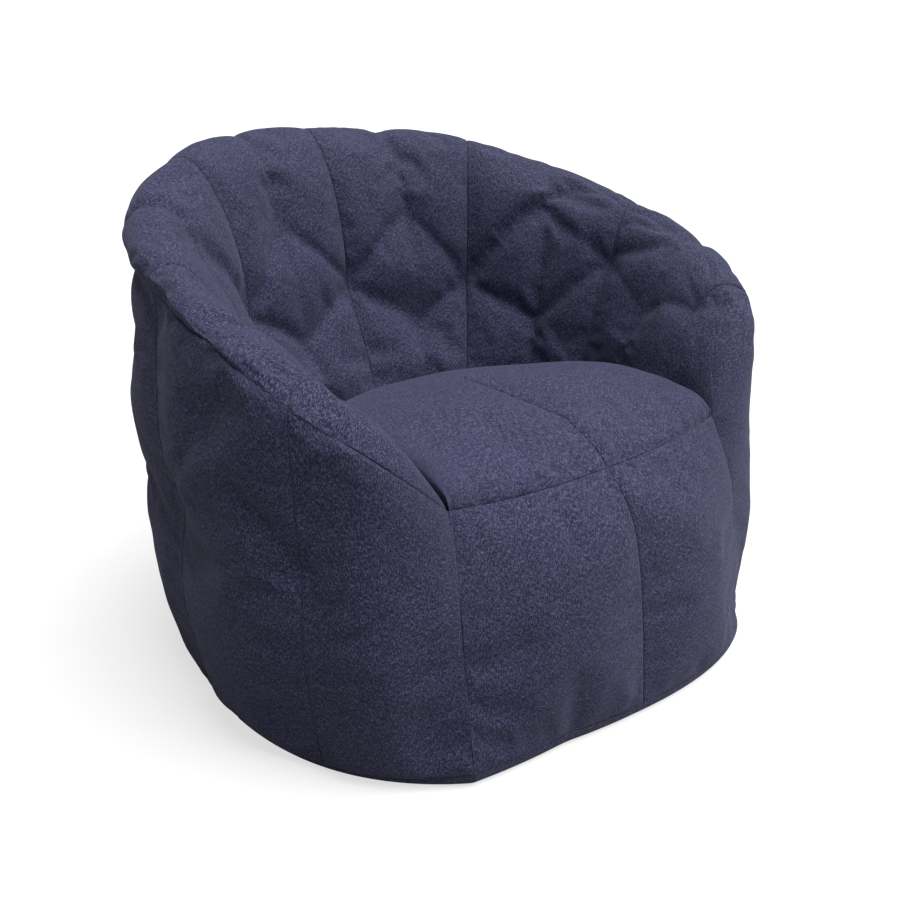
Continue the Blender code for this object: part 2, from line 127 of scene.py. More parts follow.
def plain_weave_group():
    """Crossing yarns on a flat pattern in metres: each yarn's height, and its blend of fibres, with painted
    shade where the yarns dip.
    """
    group = bpy.data.node_groups.new("heather_weave", "ShaderNodeTree")
    group_socket(group, "INPUT", "NodeSocketVector", "Pattern")
    group_socket(group, "INPUT", "NodeSocketFloat", "Yarn Pitch", YARN_PITCH)
    group_socket(group, "INPUT", "NodeSocketFloat", "Streak Length", STREAK_LENGTH)
    for name, color in (("Dark Yarn", YARN_DARK), ("Mid Yarn", YARN_MID), ("Light Yarn", YARN_LIGHT)):
        group_socket(group, "INPUT", "NodeSocketColor", name, (*color, 1))
    group_socket(group, "OUTPUT", "NodeSocketColor", "Color")
    group_socket(group, "OUTPUT", "NodeSocketFloat", "Height")
    group_socket(group, "OUTPUT", "NodeSocketFloat", "Roughness")
    entry = group.nodes.new("NodeGroupInput")
    leave = group.nodes.new("NodeGroupOutput")

    # Hand-woven wander: no yarn runs quite straight.
    wobble = noise(group, entry.outputs["Pattern"], 70.0)["Color"]
    shifted = vector_calc(group, "SUBTRACT", wobble, (0.5, 0.5, 0.5))
    small = vector_calc(group, "SCALE", shifted, 0.0009)
    pattern = vector_calc(group, "ADD", entry.outputs["Pattern"], small)
    xyz = node(group, "ShaderNodeSeparateXYZ", {0: pattern})
    across = calc(group, "DIVIDE", xyz.outputs[0], entry.outputs["Yarn Pitch"])
    along = calc(group, "DIVIDE", xyz.outputs[1], entry.outputs["Yarn Pitch"])
    column, row = calc(group, "FLOOR", across), calc(group, "FLOOR", along)
    parity = calc(group, "PINGPONG", calc(group, "ADD", column, row), 1.0)
    in_x = calc(group, "ABSOLUTE", calc(group, "SUBTRACT", calc(group, "FRACT", across), 0.5))
    in_y = calc(group, "ABSOLUTE", calc(group, "SUBTRACT", calc(group, "FRACT", along), 0.5))

    def yarn_height(side, lengthways):
        arch = calc(group, "MULTIPLY_ADD", calc(group, "MULTIPLY", side, side), -3.6, 1.0)
        crown = calc(group, "MULTIPLY_ADD", calc(group, "MULTIPLY", lengthways, lengthways), -1.6, 1.0)
        return calc(group, "MULTIPLY", arch, crown)

    warp, weft = yarn_height(in_x, in_y), yarn_height(in_y, in_x)
    height = calc(group, "MULTIPLY_ADD", parity, calc(group, "SUBTRACT", warp, weft), weft)

    def yarn_shade(number, run, seed):
        length = calc(group, "DIVIDE", run, entry.outputs["Streak Length"])
        place = {0: calc(group, "MULTIPLY_ADD", number, 3.71, seed), 1: length}
        return noise(group, node(group, "ShaderNodeCombineXYZ", place).outputs[0], 1.0)[0]

    warp_shade = yarn_shade(column, xyz.outputs[1], 0.0)
    weft_shade = calc(group, "SUBTRACT", yarn_shade(row, xyz.outputs[0], 71.0), 0.05)
    shade = calc(group, "MULTIPLY_ADD", parity, calc(group, "SUBTRACT", warp_shade, weft_shade), weft_shade)
    stretched = vector_calc(group, "MULTIPLY", pattern, (1.0, 0.30, 1.0))
    fibre = noise(group, stretched, 900.0)[0]
    shade = calc(group, "MULTIPLY_ADD", fibre, 0.62, calc(group, "MULTIPLY", shade, 0.62))
    to_mid = map_range(group, shade, 0.47, 0.59)
    to_light = map_range(group, shade, 0.60, 0.76)
    color = blend_colors(group, to_mid, entry.outputs["Dark Yarn"], entry.outputs["Mid Yarn"])
    color = blend_colors(group, to_light, color, entry.outputs["Light Yarn"])
    # Painted shade: the colour darkens where the yarns dip between crossings, down to 0.55 of it at the
    # lowest.
    dark = vector_calc(group, "SCALE", color, map_range(group, height, 0.0, 0.7, 0.55, 1.0))
    group.links.new(dark, leave.inputs["Color"])
    group.links.new(calc(group, "MULTIPLY_ADD", fibre, 0.5, height), leave.inputs["Height"])
    group.links.new(calc(group, "MULTIPLY_ADD", shade, -0.12, 0.92), leave.inputs["Roughness"])
    return group


HEATHER_WEAVE = plain_weave_group()


def new_material(name, roughness=0.8, sheen=0.0):
    material = bpy.data.materials.new(name)
    material.use_nodes = True
    shader = material.node_tree.nodes["Principled BSDF"]
    shader.inputs["Roughness"].default_value = roughness
    shader.inputs["Sheen Weight"].default_value = sheen
    shader.inputs["Sheen Roughness"].default_value = 0.45
    return material, material.node_tree, shader


def two_tone(tree, shader, share, low, high):
    """Colours a material from one colour to another."""
    tree.links.new(blend_colors(tree, share, (*low, 1), (*high, 1)), shader.inputs["Base Color"])


def raised(tree, shader, height, strength, distance):
    """Shades a material as if this height stood on its surface."""
    bump = node(tree, "ShaderNodeBump", {"Height": height, "Strength": strength, "Distance": distance})
    tree.links.new(bump.outputs[0], shader.inputs["Normal"])


def place_on_cut(tree):
    return node(tree, "ShaderNodeUVMap", uv_map="cut").outputs[0]


def place_on_object(tree):
    return node(tree, "ShaderNodeTexCoord").outputs["Object"]


def woven(tree, shader, bump_strength, bump_distance, yarns=None):
    """Shades a material as plain weave laid out on its flat cut."""
    weave = node(tree, "ShaderNodeGroup", yarns, node_tree=HEATHER_WEAVE)
    tree.links.new(place_on_cut(tree), weave.inputs["Pattern"])
    tree.links.new(weave.outputs["Color"], shader.inputs["Base Color"])
    tree.links.new(weave.outputs["Roughness"], shader.inputs["Roughness"])
    raised(tree, shader, weave.outputs["Height"], bump_strength, bump_distance)


CLOTH, cloth_tree, cloth_shader = new_material("upholstery_cloth", sheen=0.10)
cloth_shader.inputs["Sheen Tint"].default_value = (0.62, 0.64, 0.90, 1)
cloth_shader.inputs["Specular IOR Level"].default_value = 0.25
woven(cloth_tree, cloth_shader, 0.55, 0.0004)


# ---------------------------------------------------------------------------------------------
# The cover's form before it is filled: the sewn shell of the wall, drawn as level rings at its
# upright seams.  Station 0 is the middle of the back and station 4 a front corner.

WALL_AXIS_Y = -0.0725
SEAM_ANGLES = (0, 40, 82, 114, 135)
RINGS = {
    "floor_seam": ((0.440, 0.010), (0.440, 0.010), (0.432, 0.010), (0.434, 0.012), (0.420, 0.022)),
    "belly": ((0.482, 0.200), (0.476, 0.200), (0.462, 0.200), (0.460, 0.190), (0.402, 0.200)),
    "shoulder": ((0.484, 0.440), (0.478, 0.430), (0.464, 0.410), (0.459, 0.370), (0.378, 0.300)),
    "rim_seam": ((0.466, 0.590), (0.462, 0.588), (0.454, 0.575), (0.458, 0.495), (0.356, 0.348)),
    "rim_outside": ((0.474, 0.680), (0.470, 0.660), (0.457, 0.600), (0.443, 0.509), (0.356, 0.348)),
    "rim_top": ((0.427, 0.731), (0.424, 0.707), (0.421, 0.616), (0.411, 0.519), (0.356, 0.348)),
    "rim_inside": ((0.352, 0.660), (0.368, 0.645), (0.376, 0.580), (0.366, 0.494), (0.356, 0.348)),
    "lumbar": ((0.305, 0.500), (0.322, 0.480), (0.322, 0.455), (0.318, 0.428), (0.356, 0.348)),
    "seat_join": ((0.235, 0.300), (0.255, 0.300), (0.280, 0.325), (0.285, 0.340), (0.356, 0.348)),
}
CORNER_ANGLES = {"floor_seam": 140, "belly": 138, "shoulder": 136.5}
CORNER = 4
LEAST_SPACING = 0.002  # keeps rings apart where they meet at the front corners


def spline(knots, values, at):
    """A natural cubic spline through the values, read at each point of `at`."""
    knots, values = np.asarray(knots, float), np.asarray(values, float)
    step = np.diff(knots)
    last = len(knots) - 1
    matrix, right = np.zeros((last + 1, last + 1)), np.zeros_like(values)
    matrix[0, 0] = matrix[last, last] = 1
    for i in range(1, last):
        matrix[i, i - 1 : i + 2] = step[i - 1], 2 * (step[i - 1] + step[i]), step[i]
        right[i] = 6 * ((values[i + 1] - values[i]) / step[i] - (values[i] - values[i - 1]) / step[i - 1])
    bend = np.linalg.solve(matrix, right)
    at = np.asarray(at, float)
    i = np.clip(np.searchsorted(knots, at, side="right") - 1, 0, last - 1)
    a = ((knots[i + 1] - at) / step[i])[:, None]
    b = 1 - a
    wide = (step[i] ** 2)[:, None] / 6
    return a * values[i] + b * values[i + 1] + ((a**3 - a) * bend[i] + (b**3 - b) * bend[i + 1]) * wide


def ring_line(name, stations):
    angles = list(SEAM_ANGLES)
    angles[CORNER] = CORNER_ANGLES.get(name, angles[CORNER])
    knots = range(-CORNER, CORNER + 1)
    rows = [(math.copysign(math.radians(angles[abs(k)]), k), *RINGS[name][abs(k)]) for k in knots]
    angle, radius, height = spline(list(knots), rows, stations).T
    return np.stack([radius * np.sin(angle), WALL_AXIS_Y + radius * np.cos(angle), height], axis=-1)


back_line = np.array([ring_line(name, [0.0])[0] for name in RINGS])
back_spacing = np.sqrt(np.linalg.norm(np.diff(back_line, axis=0), axis=-1))
RING_LEVELS = np.concatenate([[0], np.cumsum(back_spacing)]) / back_spacing.sum()
LEVEL = dict(zip(RINGS, RING_LEVELS))


def wall_form(stations, levels):
    """The sewn shell of the wall at each level (rows) and station (columns)."""
    lines = np.array([ring_line(name, stations) for name in RINGS])
    columns = []
    for line in lines.swapaxes(0, 1):
        spacing = np.sqrt(np.linalg.norm(np.diff(line, axis=0), axis=-1) + LEAST_SPACING)
        knots = np.concatenate([[0], np.cumsum(spacing)]) / spacing.sum()
        columns.append(spline(knots, line, np.interp(levels, RING_LEVELS, knots)))
    return np.stack(columns, axis=1)


FRONT_FACE = ((-0.3475, 0.342), (-0.388, 0.292), (-0.4095, 0.215), (-0.4175, 0.120), (-0.4185, 0.022))
SEAT_CROWN = 0.066
SLUMP = 0.026
SLUMP_START = 0.30


def front_form(across, down):
    """The front face, from corner seam to corner seam (-1 to 1) and from the seat's edge down (0 to 1)."""
    spacing = np.linalg.norm(np.diff(np.array(FRONT_FACE), axis=0), axis=-1)
    knots = np.concatenate([[0], np.cumsum(spacing)]) / spacing.sum()
    middle = spline(knots, np.array(FRONT_FACE), down)
    corner = wall_form([float(CORNER)], LEVEL["rim_seam"] * (1 - np.asarray(down)))[:, 0]
    side = np.sin(np.asarray(across) * math.pi / 2)
    out = 1 - np.abs(side) ** 2.5
    x = corner[:, :1] * side
    y = corner[:, 1:2] + (middle[:, :1] - corner[:, 1:2]) * out
    z = corner[:, 2:] + (middle[:, 1:] - corner[:, 2:]) * out
    # The beads have settled forwards a little on one side, so the lower front stands fuller there.
    slumped = np.sin(math.pi * np.clip((np.asarray(across) + SLUMP_START) / (1 + SLUMP_START), 0, 1))
    y = y - SLUMP * slumped * np.asarray(down)[:, None] ** 2
    return np.stack([x, y, z], axis=-1)


def seat_form(across, forward):
    """The seat top, from corner to corner (-1 to 1) and from the wall to its front seam (0 to 1)."""
    across, forward = np.asarray(across, float), np.asarray(forward, float)[:, None, None]
    front_seam = front_form(across, [0.0])[0]
    join = ring_line("seat_join", CORNER * across)
    form = join + (front_seam - join) * forward
    swell = np.sin(math.pi * forward[:, :, 0]) * np.cos(across * math.pi / 2)
    form[:, :, 2] += SEAT_CROWN * np.sqrt(np.clip(swell, 0, None))
    return form


def surface_normals(form, smoothing=4):
    """Unit normals of a grid of points, pointing out of the filled side."""
    normals = np.cross(np.gradient(form, axis=0), np.gradient(form, axis=1))
    for _ in range(smoothing):
        normals /= np.linalg.norm(normals, axis=-1, keepdims=True) + 1e-12
        edged = np.pad(normals, ((1, 1), (1, 1), (0, 0)), mode="edge")
        normals = normals + edged[2:, 1:-1] + edged[:-2, 1:-1] + edged[1:-1, 2:] + edged[1:-1, :-2]
    return normals / np.linalg.norm(normals, axis=-1, keepdims=True)


# ---------------------------------------------------------------------------------------------
# Filling the cover.  Beads push every panel out between its seams, and ties sewn through the
# wall pull a diamond pattern of tufts in, so folds run from tuft to tuft.  The sculpted cover is
# then simulated as slack cloth held at its seams and tufts, which gives the folds their run.

SEAM_DEPTH = 0.0025
PUFF = 0.0055
PUFF_RISE = 0.030
CORNER_STOP = 3.98  # the wall's inside stops just short of the corner, where its rings meet
PANEL_COLUMNS = (40, 42, 32, 21)
OUTER_ROWS, INNER_ROWS = 68, 92

half_stations = np.concatenate([[0.0], *(
    k + np.arange(1, count + 1) / count for k, count in enumerate(PANEL_COLUMNS)
)])
STATIONS = np.concatenate([-half_stations[:0:-1], half_stations])
LEVELS = np.concatenate([
    np.linspace(0, LEVEL["rim_seam"], OUTER_ROWS + 1),
    np.linspace(LEVEL["rim_seam"], 1, INNER_ROWS + 1)[1:],
])
SEAT_ACROSS = np.linspace(-0.985, 0.985, 71)
SEAT_FORWARD = 0.5 - 0.5 * np.cos(np.linspace(0, math.pi, 67))
FRONT_ACROSS = np.concatenate([[-1.0], SEAT_ACROSS, [1.0]])  # the seat's own columns, and the corners
FRONT_DOWN = np.linspace(0, 1, 45)

# Where each tie pulls the wall in: station, level, depth and radius, on one side of the chair.
SEAM_TUFTS = [
    (0, 0.862, 0.009, 0.050), (1, 0.855, 0.010, 0.050), (2, 0.785, 0.010, 0.046), (3, 0.745, 0.007, 0.040),
    (0, 0.250, 0.010, 0.040), (1, 0.240, 0.012, 0.045), (2, 0.228, 0.013, 0.050), (3, 0.240, 0.008, 0.034),
]
PANEL_TUFTS = [
    (0.55, 0.768, 0.003, 0.040), (1.5, 0.748, 0.004, 0.040), (2.5, 0.690, 0.002, 0.034),
    (0.60, 0.912, 0.006, 0.044), (1.53, 0.898, 0.007, 0.044), (2.5, 0.835, 0.005, 0.040),
    *((k + 0.5, 0.345, 0.006, 0.034) for k in range(3)),
]
RIM_TOP = LEVEL["rim_top"]


def grid_faces(rows, columns, first=0):
    corner = first + np.arange(rows - 1)[:, None] * columns + np.arange(columns - 1)
    return np.stack([corner, corner + columns, corner + columns + 1, corner + 1], axis=-1).reshape(-1, 4)


def both_sides(places):
    """These places on the wall, and the same ones mirrored to the other side."""
    return places + [(-place[0], *place[1:]) for place in places if place[0] > 0]


def wall_place(station, level):
    return wall_form([float(station)], [float(level)])[0, 0]


def valley(form, path, depth, width, sharpness=2.0, fade=1.0):
    """How far a soft valley along a path of wall places (station, level) lies below the cover.

    Its depth changes to a share `fade` at the path's end, and a sharpness near 1 makes it a crease."""
    ends = np.array(path, float)
    share = np.linspace(0, 1, 14)[:, None]
    steps = np.concatenate([a + (b - a) * share for a, b in zip(ends, ends[1:])])
    points = np.array([wall_place(*step) for step in steps])
    depths = depth * np.linspace(1, fade, len(points))
    low, high = points.min(axis=0) - 3 * width, points.max(axis=0) + 3 * width
    near = np.all((form > low) & (form < high), axis=-1)
    away = np.linalg.norm(form[near][:, None] - points[None], axis=-1)
    closest = away.argmin(axis=1)
    distance = away[np.arange(len(away)), closest]
    sunk = np.zeros(form.shape[:2])
    sunk[near] = depths[closest] * np.exp(-((distance / width) ** sharpness))
    return sunk


def seam_puff(distance):
    return PUFF * (1 - np.exp(-distance / PUFF_RISE)) - SEAM_DEPTH


FOLD_WIDTH = 0.013
FOLD_SHARPNESS = 1.35


def fold_lines():
    """The folds of one side of the wall: each a path of places, its depth and its share at the end."""
    for k in range(CORNER - 1):
        low = next(t[:2] for t in PANEL_TUFTS if int(t[0]) == k and t[1] > 0.8)
        high = next(t[:2] for t in PANEL_TUFTS if int(t[0]) == k and 0.6 < t[1] < 0.8)
        middle = k + 0.5
        yield [(middle, 0.20), (middle, LEVEL["rim_seam"])], 0.0035, 0.8
        yield [(middle, LEVEL["rim_seam"]), (k + 0.47, RIM_TOP), high], 0.0030, 2.2
        yield [high, low], 0.0065, 0.9
        yield [low, (low[0] - 0.03, 1.0)], 0.0060, 0.3
        for j in (k, k + 1):
            tie = (j, SEAM_TUFTS[j][1])
            yield [tie, high], 0.0075, 0.5
            yield [tie, low], 0.0085, 0.8
            yield [(j, SEAM_TUFTS[CORNER + j][1]), (middle, 0.345)], 0.0060, 0.6
        if k == 1:
            yield [(k, SEAM_TUFTS[k][1]), (k + 0.52, high[1] - 0.03), (k + 0.80, 0.642)], 0.0110, 0.4


def sculpt_wall():
    form = wall_form(STATIONS, LEVELS)
    inside = slice(OUTER_ROWS + 1, None)
    form[inside] = wall_form(np.clip(STATIONS, -CORNER_STOP, CORNER_STOP), LEVELS[inside])
    normals = surface_normals(form)
    seams = np.arange(-CORNER, CORNER + 1)
    nearest = seams[np.abs(STATIONS[:, None] - seams).argmin(axis=1)]
    to_side = np.linalg.norm(form - form[:, np.abs(STATIONS[:, None] - nearest).argmin(axis=0)], axis=-1)
    level_seams = np.array([0, OUTER_ROWS, OUTER_ROWS + INNER_ROWS])
    rows = np.arange(len(LEVELS))
    nearest_row = level_seams[np.abs(rows[:, None] - level_seams).argmin(axis=1)]
    to_end = np.linalg.norm(form - form[nearest_row], axis=-1)
    out = seam_puff(np.minimum(to_side, to_end))
    for station, level, depth, radius in both_sides(SEAM_TUFTS + PANEL_TUFTS):
        out -= valley(form, [(station, level - 0.004), (station, level + 0.004)], depth, radius, 1.6)
    folds = np.zeros(form.shape[:2])
    random = np.random.default_rng(4)
    for side in (1, -1):
        # The rim runs nearly straight between the seams of the arm, and the sides draw in at the waist.
        out -= valley(form, [(side * s, RIM_TOP) for s in (2.2, 2.8)], 0.010, 0.075)
        out -= valley(form, [(side * s, RIM_TOP) for s in (1.3, 1.7)], 0.004, 0.075)
        out -= valley(form, [(side * s, 0.200) for s in (1.0, 2.2)], 0.014, 0.080)
        for path, depth, fade in fold_lines():
            placed = [(side * station, level) for station, level in path]
            width = FOLD_WIDTH * random.uniform(0.75, 1.6)
            depth *= random.uniform(0.35, 1.15)
            folds = np.maximum(folds, valley(form, placed, depth, width, FOLD_SHARPNESS, fade))
    out -= folds
    return form + normals * out[..., None]


def lumps(form, size, height, seed):
    """Soft unevenness of the filling: smooth noise with features of one size."""
    random = np.random.default_rng(seed)
    total = np.zeros(form.shape[:2])
    for _ in range(14):
        direction = random.normal(size=3)
        direction *= 2 * math.pi / size / np.linalg.norm(direction) * random.uniform(0.6, 1.4)
        total += np.sin(form @ direction + random.uniform(0, 2 * math.pi))
    return height * total / math.sqrt(14)


def gathers(across, away, seed, reach, height, pitch):
    """Small pleats that start at a gathered seam and die out away from it."""
    random = np.random.default_rng(seed)
    total = np.zeros((len(away), len(across)))
    for centre in np.arange(-0.92, 0.93, pitch):
        centre = centre + random.uniform(-0.3, 0.3) * pitch
        lean = random.uniform(-0.5, 0.5)
        long = reach * random.uniform(0.45, 1.3)
        strength = random.uniform(0.3, 1.0)
        line = across[None, :] - centre - lean * away[:, None]
        total += strength * np.exp(-((line / (0.24 * pitch)) ** 2)) * np.exp(-away[:, None] / long)
    return height * total


def sculpt_seat():
    form = seat_form(SEAT_ACROSS, SEAT_FORWARD)
    normals = surface_normals(form)
    depth = np.linalg.norm(form[0] - form[-1], axis=-1)
    to_end = np.minimum(SEAT_FORWARD, 1 - SEAT_FORWARD)[:, None] * depth[None]
    to_middle = np.abs(form[..., 0])
    out = 0.35 * seam_puff(np.minimum(to_end, to_middle + 0.004)) - 0.0012
    out -= gathers(SEAT_ACROSS, 1 - SEAT_FORWARD, 5, 0.16, 0.0042, 0.100)
    return form + normals * out[..., None]


def sculpt_front():
    form = front_form(FRONT_ACROSS, FRONT_DOWN)
    normals = surface_normals(form)
    to_side = np.minimum(np.abs(form[..., 0]), 0.262 - np.abs(form[..., 0]))
    to_end = np.minimum(FRONT_DOWN, 1 - FRONT_DOWN)[:, None] * 0.33
    out = 0.55 * seam_puff(np.minimum(np.clip(to_side, 0, None), to_end)) - 0.0010
    out -= gathers(FRONT_ACROSS, FRONT_DOWN, 9, 0.30, 0.0026, 0.125)
    return form + normals * out[..., None]


FURTHEST_SHIFT = 0.016  # how far settling may move the cloth
TIGHT_REACH = 0.100  # how far from the front corners the cloth stays as sculpted


def from_front_corners(points):
    """How far each point is from the nearer front corner, where the arms run out."""
    tips = wall_form([-float(CORNER), float(CORNER)], [LEVEL["rim_seam"]])[0]
    return np.linalg.norm(points[..., None, :] - tips, axis=-1).min(axis=-1)


def fill_cover(sculpted, pinned, frames=14):
    """Settles the sculpted cover as slack cloth under the push of the beads, and returns its points."""
    sizes = [form.shape[0] * form.shape[1] for form in sculpted]
    starts = np.concatenate([[0], np.cumsum(sizes)])
    points = np.concatenate([form.reshape(-1, 3) for form in sculpted])
    faces = np.concatenate([grid_faces(*form.shape[:2], first) for form, first in zip(sculpted, starts)])
    mesh = bpy.data.meshes.new("cover_cloth")
    mesh.from_pydata(points.tolist(), [], faces.tolist())
    cover = new_object("cover_cloth", mesh)
    pins = cover.vertex_groups.new(name="seams_and_tufts")
    weights = np.concatenate([pin.reshape(-1) for pin in pinned])
    for weight in np.unique(weights[weights > 0]):
        pins.add(np.nonzero(weights == weight)[0].tolist(), float(weight), "REPLACE")
    cloth = cover.modifiers.new("slack_cloth", "CLOTH")
    settings = cloth.settings
    settings.vertex_group_mass = pins.name
    settings.effector_weights.gravity = 0
    settings.quality = 5
    settings.mass = 0.3
    settings.tension_stiffness = settings.compression_stiffness = 18
    settings.shear_stiffness = 6
    settings.bending_stiffness = 1.2
    settings.air_damping = 3
    settings.use_pressure = True
    settings.uniform_pressure_force = 1.1
    settings.shrink_min = -0.022
    cloth.collision_settings.use_collision = False
    cloth.point_cache.frame_start = 1
    cloth.point_cache.frame_end = frames
    for frame_number in range(1, frames + 1):
        scene.frame_set(frame_number)
    settled = cover.evaluated_get(bpy.context.evaluated_depsgraph_get()).to_mesh()
    moved = np.empty(len(points) * 3, np.float32)
    settled.vertices.foreach_get("co", moved)
    bpy.data.objects.remove(cover)
    scene.frame_set(1)
    shift = moved.reshape(-1, 3) - points
    far = np.linalg.norm(shift, axis=1, keepdims=True)
    points = points + shift * np.minimum(1, FURTHEST_SHIFT / np.maximum(far, 1e-9))
    # The cloth stays as sculpted where the arms run out, because the seat is gathered tightly there.
    as_sculpted = np.concatenate([form.reshape(-1, 3) for form in sculpted])
    free = np.clip((from_front_corners(as_sculpted)[:, None] - TIGHT_REACH) / TIGHT_REACH, 0, 1)
    points = as_sculpted + (points - as_sculpted) * free
    return [points[a:b].reshape(form.shape) for a, b, form in zip(starts, starts[1:], sculpted)]


wall_pins = np.zeros((len(LEVELS), len(STATIONS)))
seam_columns = [int(np.abs(STATIONS - k).argmin()) for k in range(-CORNER + 1, CORNER)]
wall_pins[:, [0, *seam_columns, -1]] = 1
wall_pins[[0, OUTER_ROWS, -1], :] = 1
for station, level, *_ in both_sides(PANEL_TUFTS):
    wall_pins[np.abs(LEVELS - level).argmin(), np.abs(STATIONS - station).argmin()] = 1
seat_pins = np.zeros((len(SEAT_FORWARD), len(SEAT_ACROSS)))
seat_pins[[0, -1], :] = 1
seat_pins[:, [0, -1]] = 1
seat_pins[:, len(SEAT_ACROSS) // 2] = 0.2
front_pins = np.zeros((len(FRONT_DOWN), len(FRONT_ACROSS)))
front_pins[[0, -1], :] = 1
front_pins[:, [0, len(FRONT_ACROSS) // 2, -1]] = 1

cover_forms = [sculpt_wall(), sculpt_seat(), sculpt_front()]
cover_forms = fill_cover(cover_forms, [wall_pins, seat_pins, front_pins])
for number, form in enumerate(cover_forms):
    fade = 1 - np.clip([wall_pins, seat_pins, front_pins][number], 0, 1)
    uneven = lumps(form, 0.120, 0.0009, 21) + lumps(form, 0.040, 0.0003, 22)
    cover_forms[number] = form + surface_normals(form) * (uneven * fade)[..., None]
wall_cover, seat_cover, front_cover = cover_forms


def resample(line, count):
    places = np.linspace(0, len(line) - 1, count)
    return np.stack([np.interp(places, np.arange(len(line)), line[:, i]) for i in range(3)], axis=-1)


# Panels that meet at a seam share its line.
front_cover[0, 1:-1] = seat_cover[-1] = (front_cover[0, 1:-1] + seat_cover[-1]) / 2
for column in (0, -1):
    front_cover[:, column] = resample(wall_cover[OUTER_ROWS::-1, column], len(FRONT_DOWN))


# ---------------------------------------------------------------------------------------------
# Upholstery panels.  Each panel of the cover is its own cut of cloth.  Along every seam its edge
# turns in, and 9 mm of allowance lies against its neighbour's inside the chair.

LIP_STAND = 0.00008
LIP_DROP = 0.0005
ROLL_REACH = 0.0022
ROLL_RISE = 0.0008
ALLOWANCE = 0.009
CORNER_REACH = 0.20
CUT_SHIFT = (0.37, 0.11)  # moves each panel's cut to its own part of the cloth
TURN_SMOOTHING = 16  # edges turn in along the broad run of the cover, not its small creases
HIDDEN, LIP, ROLL, FACE = range(4)
REACH = (LIP_STAND, LIP_STAND, ROLL_REACH, 0.0)


def edge_steps(count):
    """Which grid line each line of a finished panel starts from, and what part of the edge it is."""
    lines = [0, 0, 0, *range(1, count - 1), count - 1, count - 1, count - 1]
    kinds = [HIDDEN, LIP, ROLL, *[FACE] * (count - 2), ROLL, LIP, HIDDEN]
    return np.array(lines), np.array(kinds)


def edge_reach(form, kinds):
    """How far each line lies in from the edge of the cut, across the first axis."""
    shift = np.zeros((len(kinds), *form.shape[1:]))
    for lines, step in ((slice(0, 3), form[1] - form[0]), (slice(-3, None), form[-2] - form[-1])):
        far = np.linalg.norm(step, axis=-1, keepdims=True)
        reach = np.array(REACH)[kinds[lines]][:, None, None]
        shift[lines] = step / np.maximum(far, 1e-7) * np.minimum(reach, 0.4 * far)
    return shift


def room_inside(form):
    """What share of its full depth an edge can turn in: little where the arms run out."""
    return np.clip(from_front_corners(form) / CORNER_REACH, 0.08, 1)


def turn_in(form, normals, allowance):
    """A grid of points with its four edges rolled over and turned in."""
    rows, row_kinds = edge_steps(form.shape[0])
    columns, column_kinds = edge_steps(form.shape[1])
    down = edge_reach(form, row_kinds)[:, columns]
    over = edge_reach(form.swapaxes(0, 1), column_kinds).swapaxes(0, 1)[rows]
    rises = np.array([-allowance, -LIP_DROP, ROLL_RISE, math.inf])
    rise = np.minimum(rises[row_kinds][:, None], rises[column_kinds][None])
    rise[np.isinf(rise)] = 0
    grid = np.ix_(rows, columns)
    rise = rise * room_inside(form[grid])
    return form[grid] + down + over + normals[grid] * rise[..., None]


def cut_pattern(base):
    """Where each point lies on the flat cut, in metres: across from the panel's middle, and along it."""
    middle = base.shape[1] // 2
    steps_across = np.linalg.norm(np.diff(base, axis=1), axis=-1)
    across = np.concatenate([np.zeros((len(base), 1)), np.cumsum(steps_across, axis=1)], axis=1)
    across -= across[:, middle : middle + 1]
    steps_along = np.linalg.norm(np.diff(base[:, middle], axis=0), axis=-1)
    along = np.concatenate([[0], np.cumsum(steps_along)])
    return np.stack([across, np.repeat(along[:, None], base.shape[1], axis=1)], axis=-1)


def lay_flat(mesh, cut):
    """Writes where each point lies on the flat cut into a mesh."""
    corners = np.empty(len(mesh.loops), np.int32)
    mesh.loops.foreach_get("vertex_index", corners)
    flat = mesh.uv_layers.new(name="cut")
    flat.data.foreach_set("uv", cut.reshape(-1, 2)[corners].astype(np.float32).reshape(-1))


def keep_lips_sharp(mesh, rows, columns):
    """Creases the line where each edge turns in, so that subdividing leaves the seam closed."""
    ends = np.empty(len(mesh.edges) * 2, np.int32)
    mesh.edges.foreach_get("vertices", ends)
    row, column = np.divmod(ends.reshape(-1, 2), columns)
    level_lip = (row[:, 0] == row[:, 1]) & np.isin(row[:, 0], (1, rows - 2))
    upright_lip = (column[:, 0] == column[:, 1]) & np.isin(column[:, 0], (1, columns - 2))
    crease = mesh.attributes.new("crease_edge", "FLOAT", "EDGE")
    crease.data.foreach_set("value", (level_lip | upright_lip).astype(np.float32))


def sewn_panel(name, form, normals, material, allowance=ALLOWANCE):
    rolled = turn_in(form, normals, allowance)
    mesh = bpy.data.meshes.new(name)
    mesh.from_pydata(rolled.reshape(-1, 3).tolist(), [], grid_faces(*rolled.shape[:2]).tolist())
    lay_flat(mesh, cut_pattern(rolled) + np.array(CUT_SHIFT) * (1 + sum(map(ord, name)) % 17))
    keep_lips_sharp(mesh, *rolled.shape[:2])
    mesh.materials.append(material)
    mesh.shade_smooth()
    panel = new_object(name, mesh)
    fine = panel.modifiers.new("fine", "SUBSURF")
    fine.levels = fine.render_levels = 1
    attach(panel, "chair")
    return panel


wall_normals = surface_normals(wall_cover, TURN_SMOOTHING)
seat_normals = surface_normals(seat_cover, TURN_SMOOTHING)
front_normals = surface_normals(front_cover, TURN_SMOOTHING)


def halfway(first, second):
    """Directions halfway between two lines of them, so that two panels' edges turn in the same way."""
    middle = first + second
    return middle / np.linalg.norm(middle, axis=-1, keepdims=True)


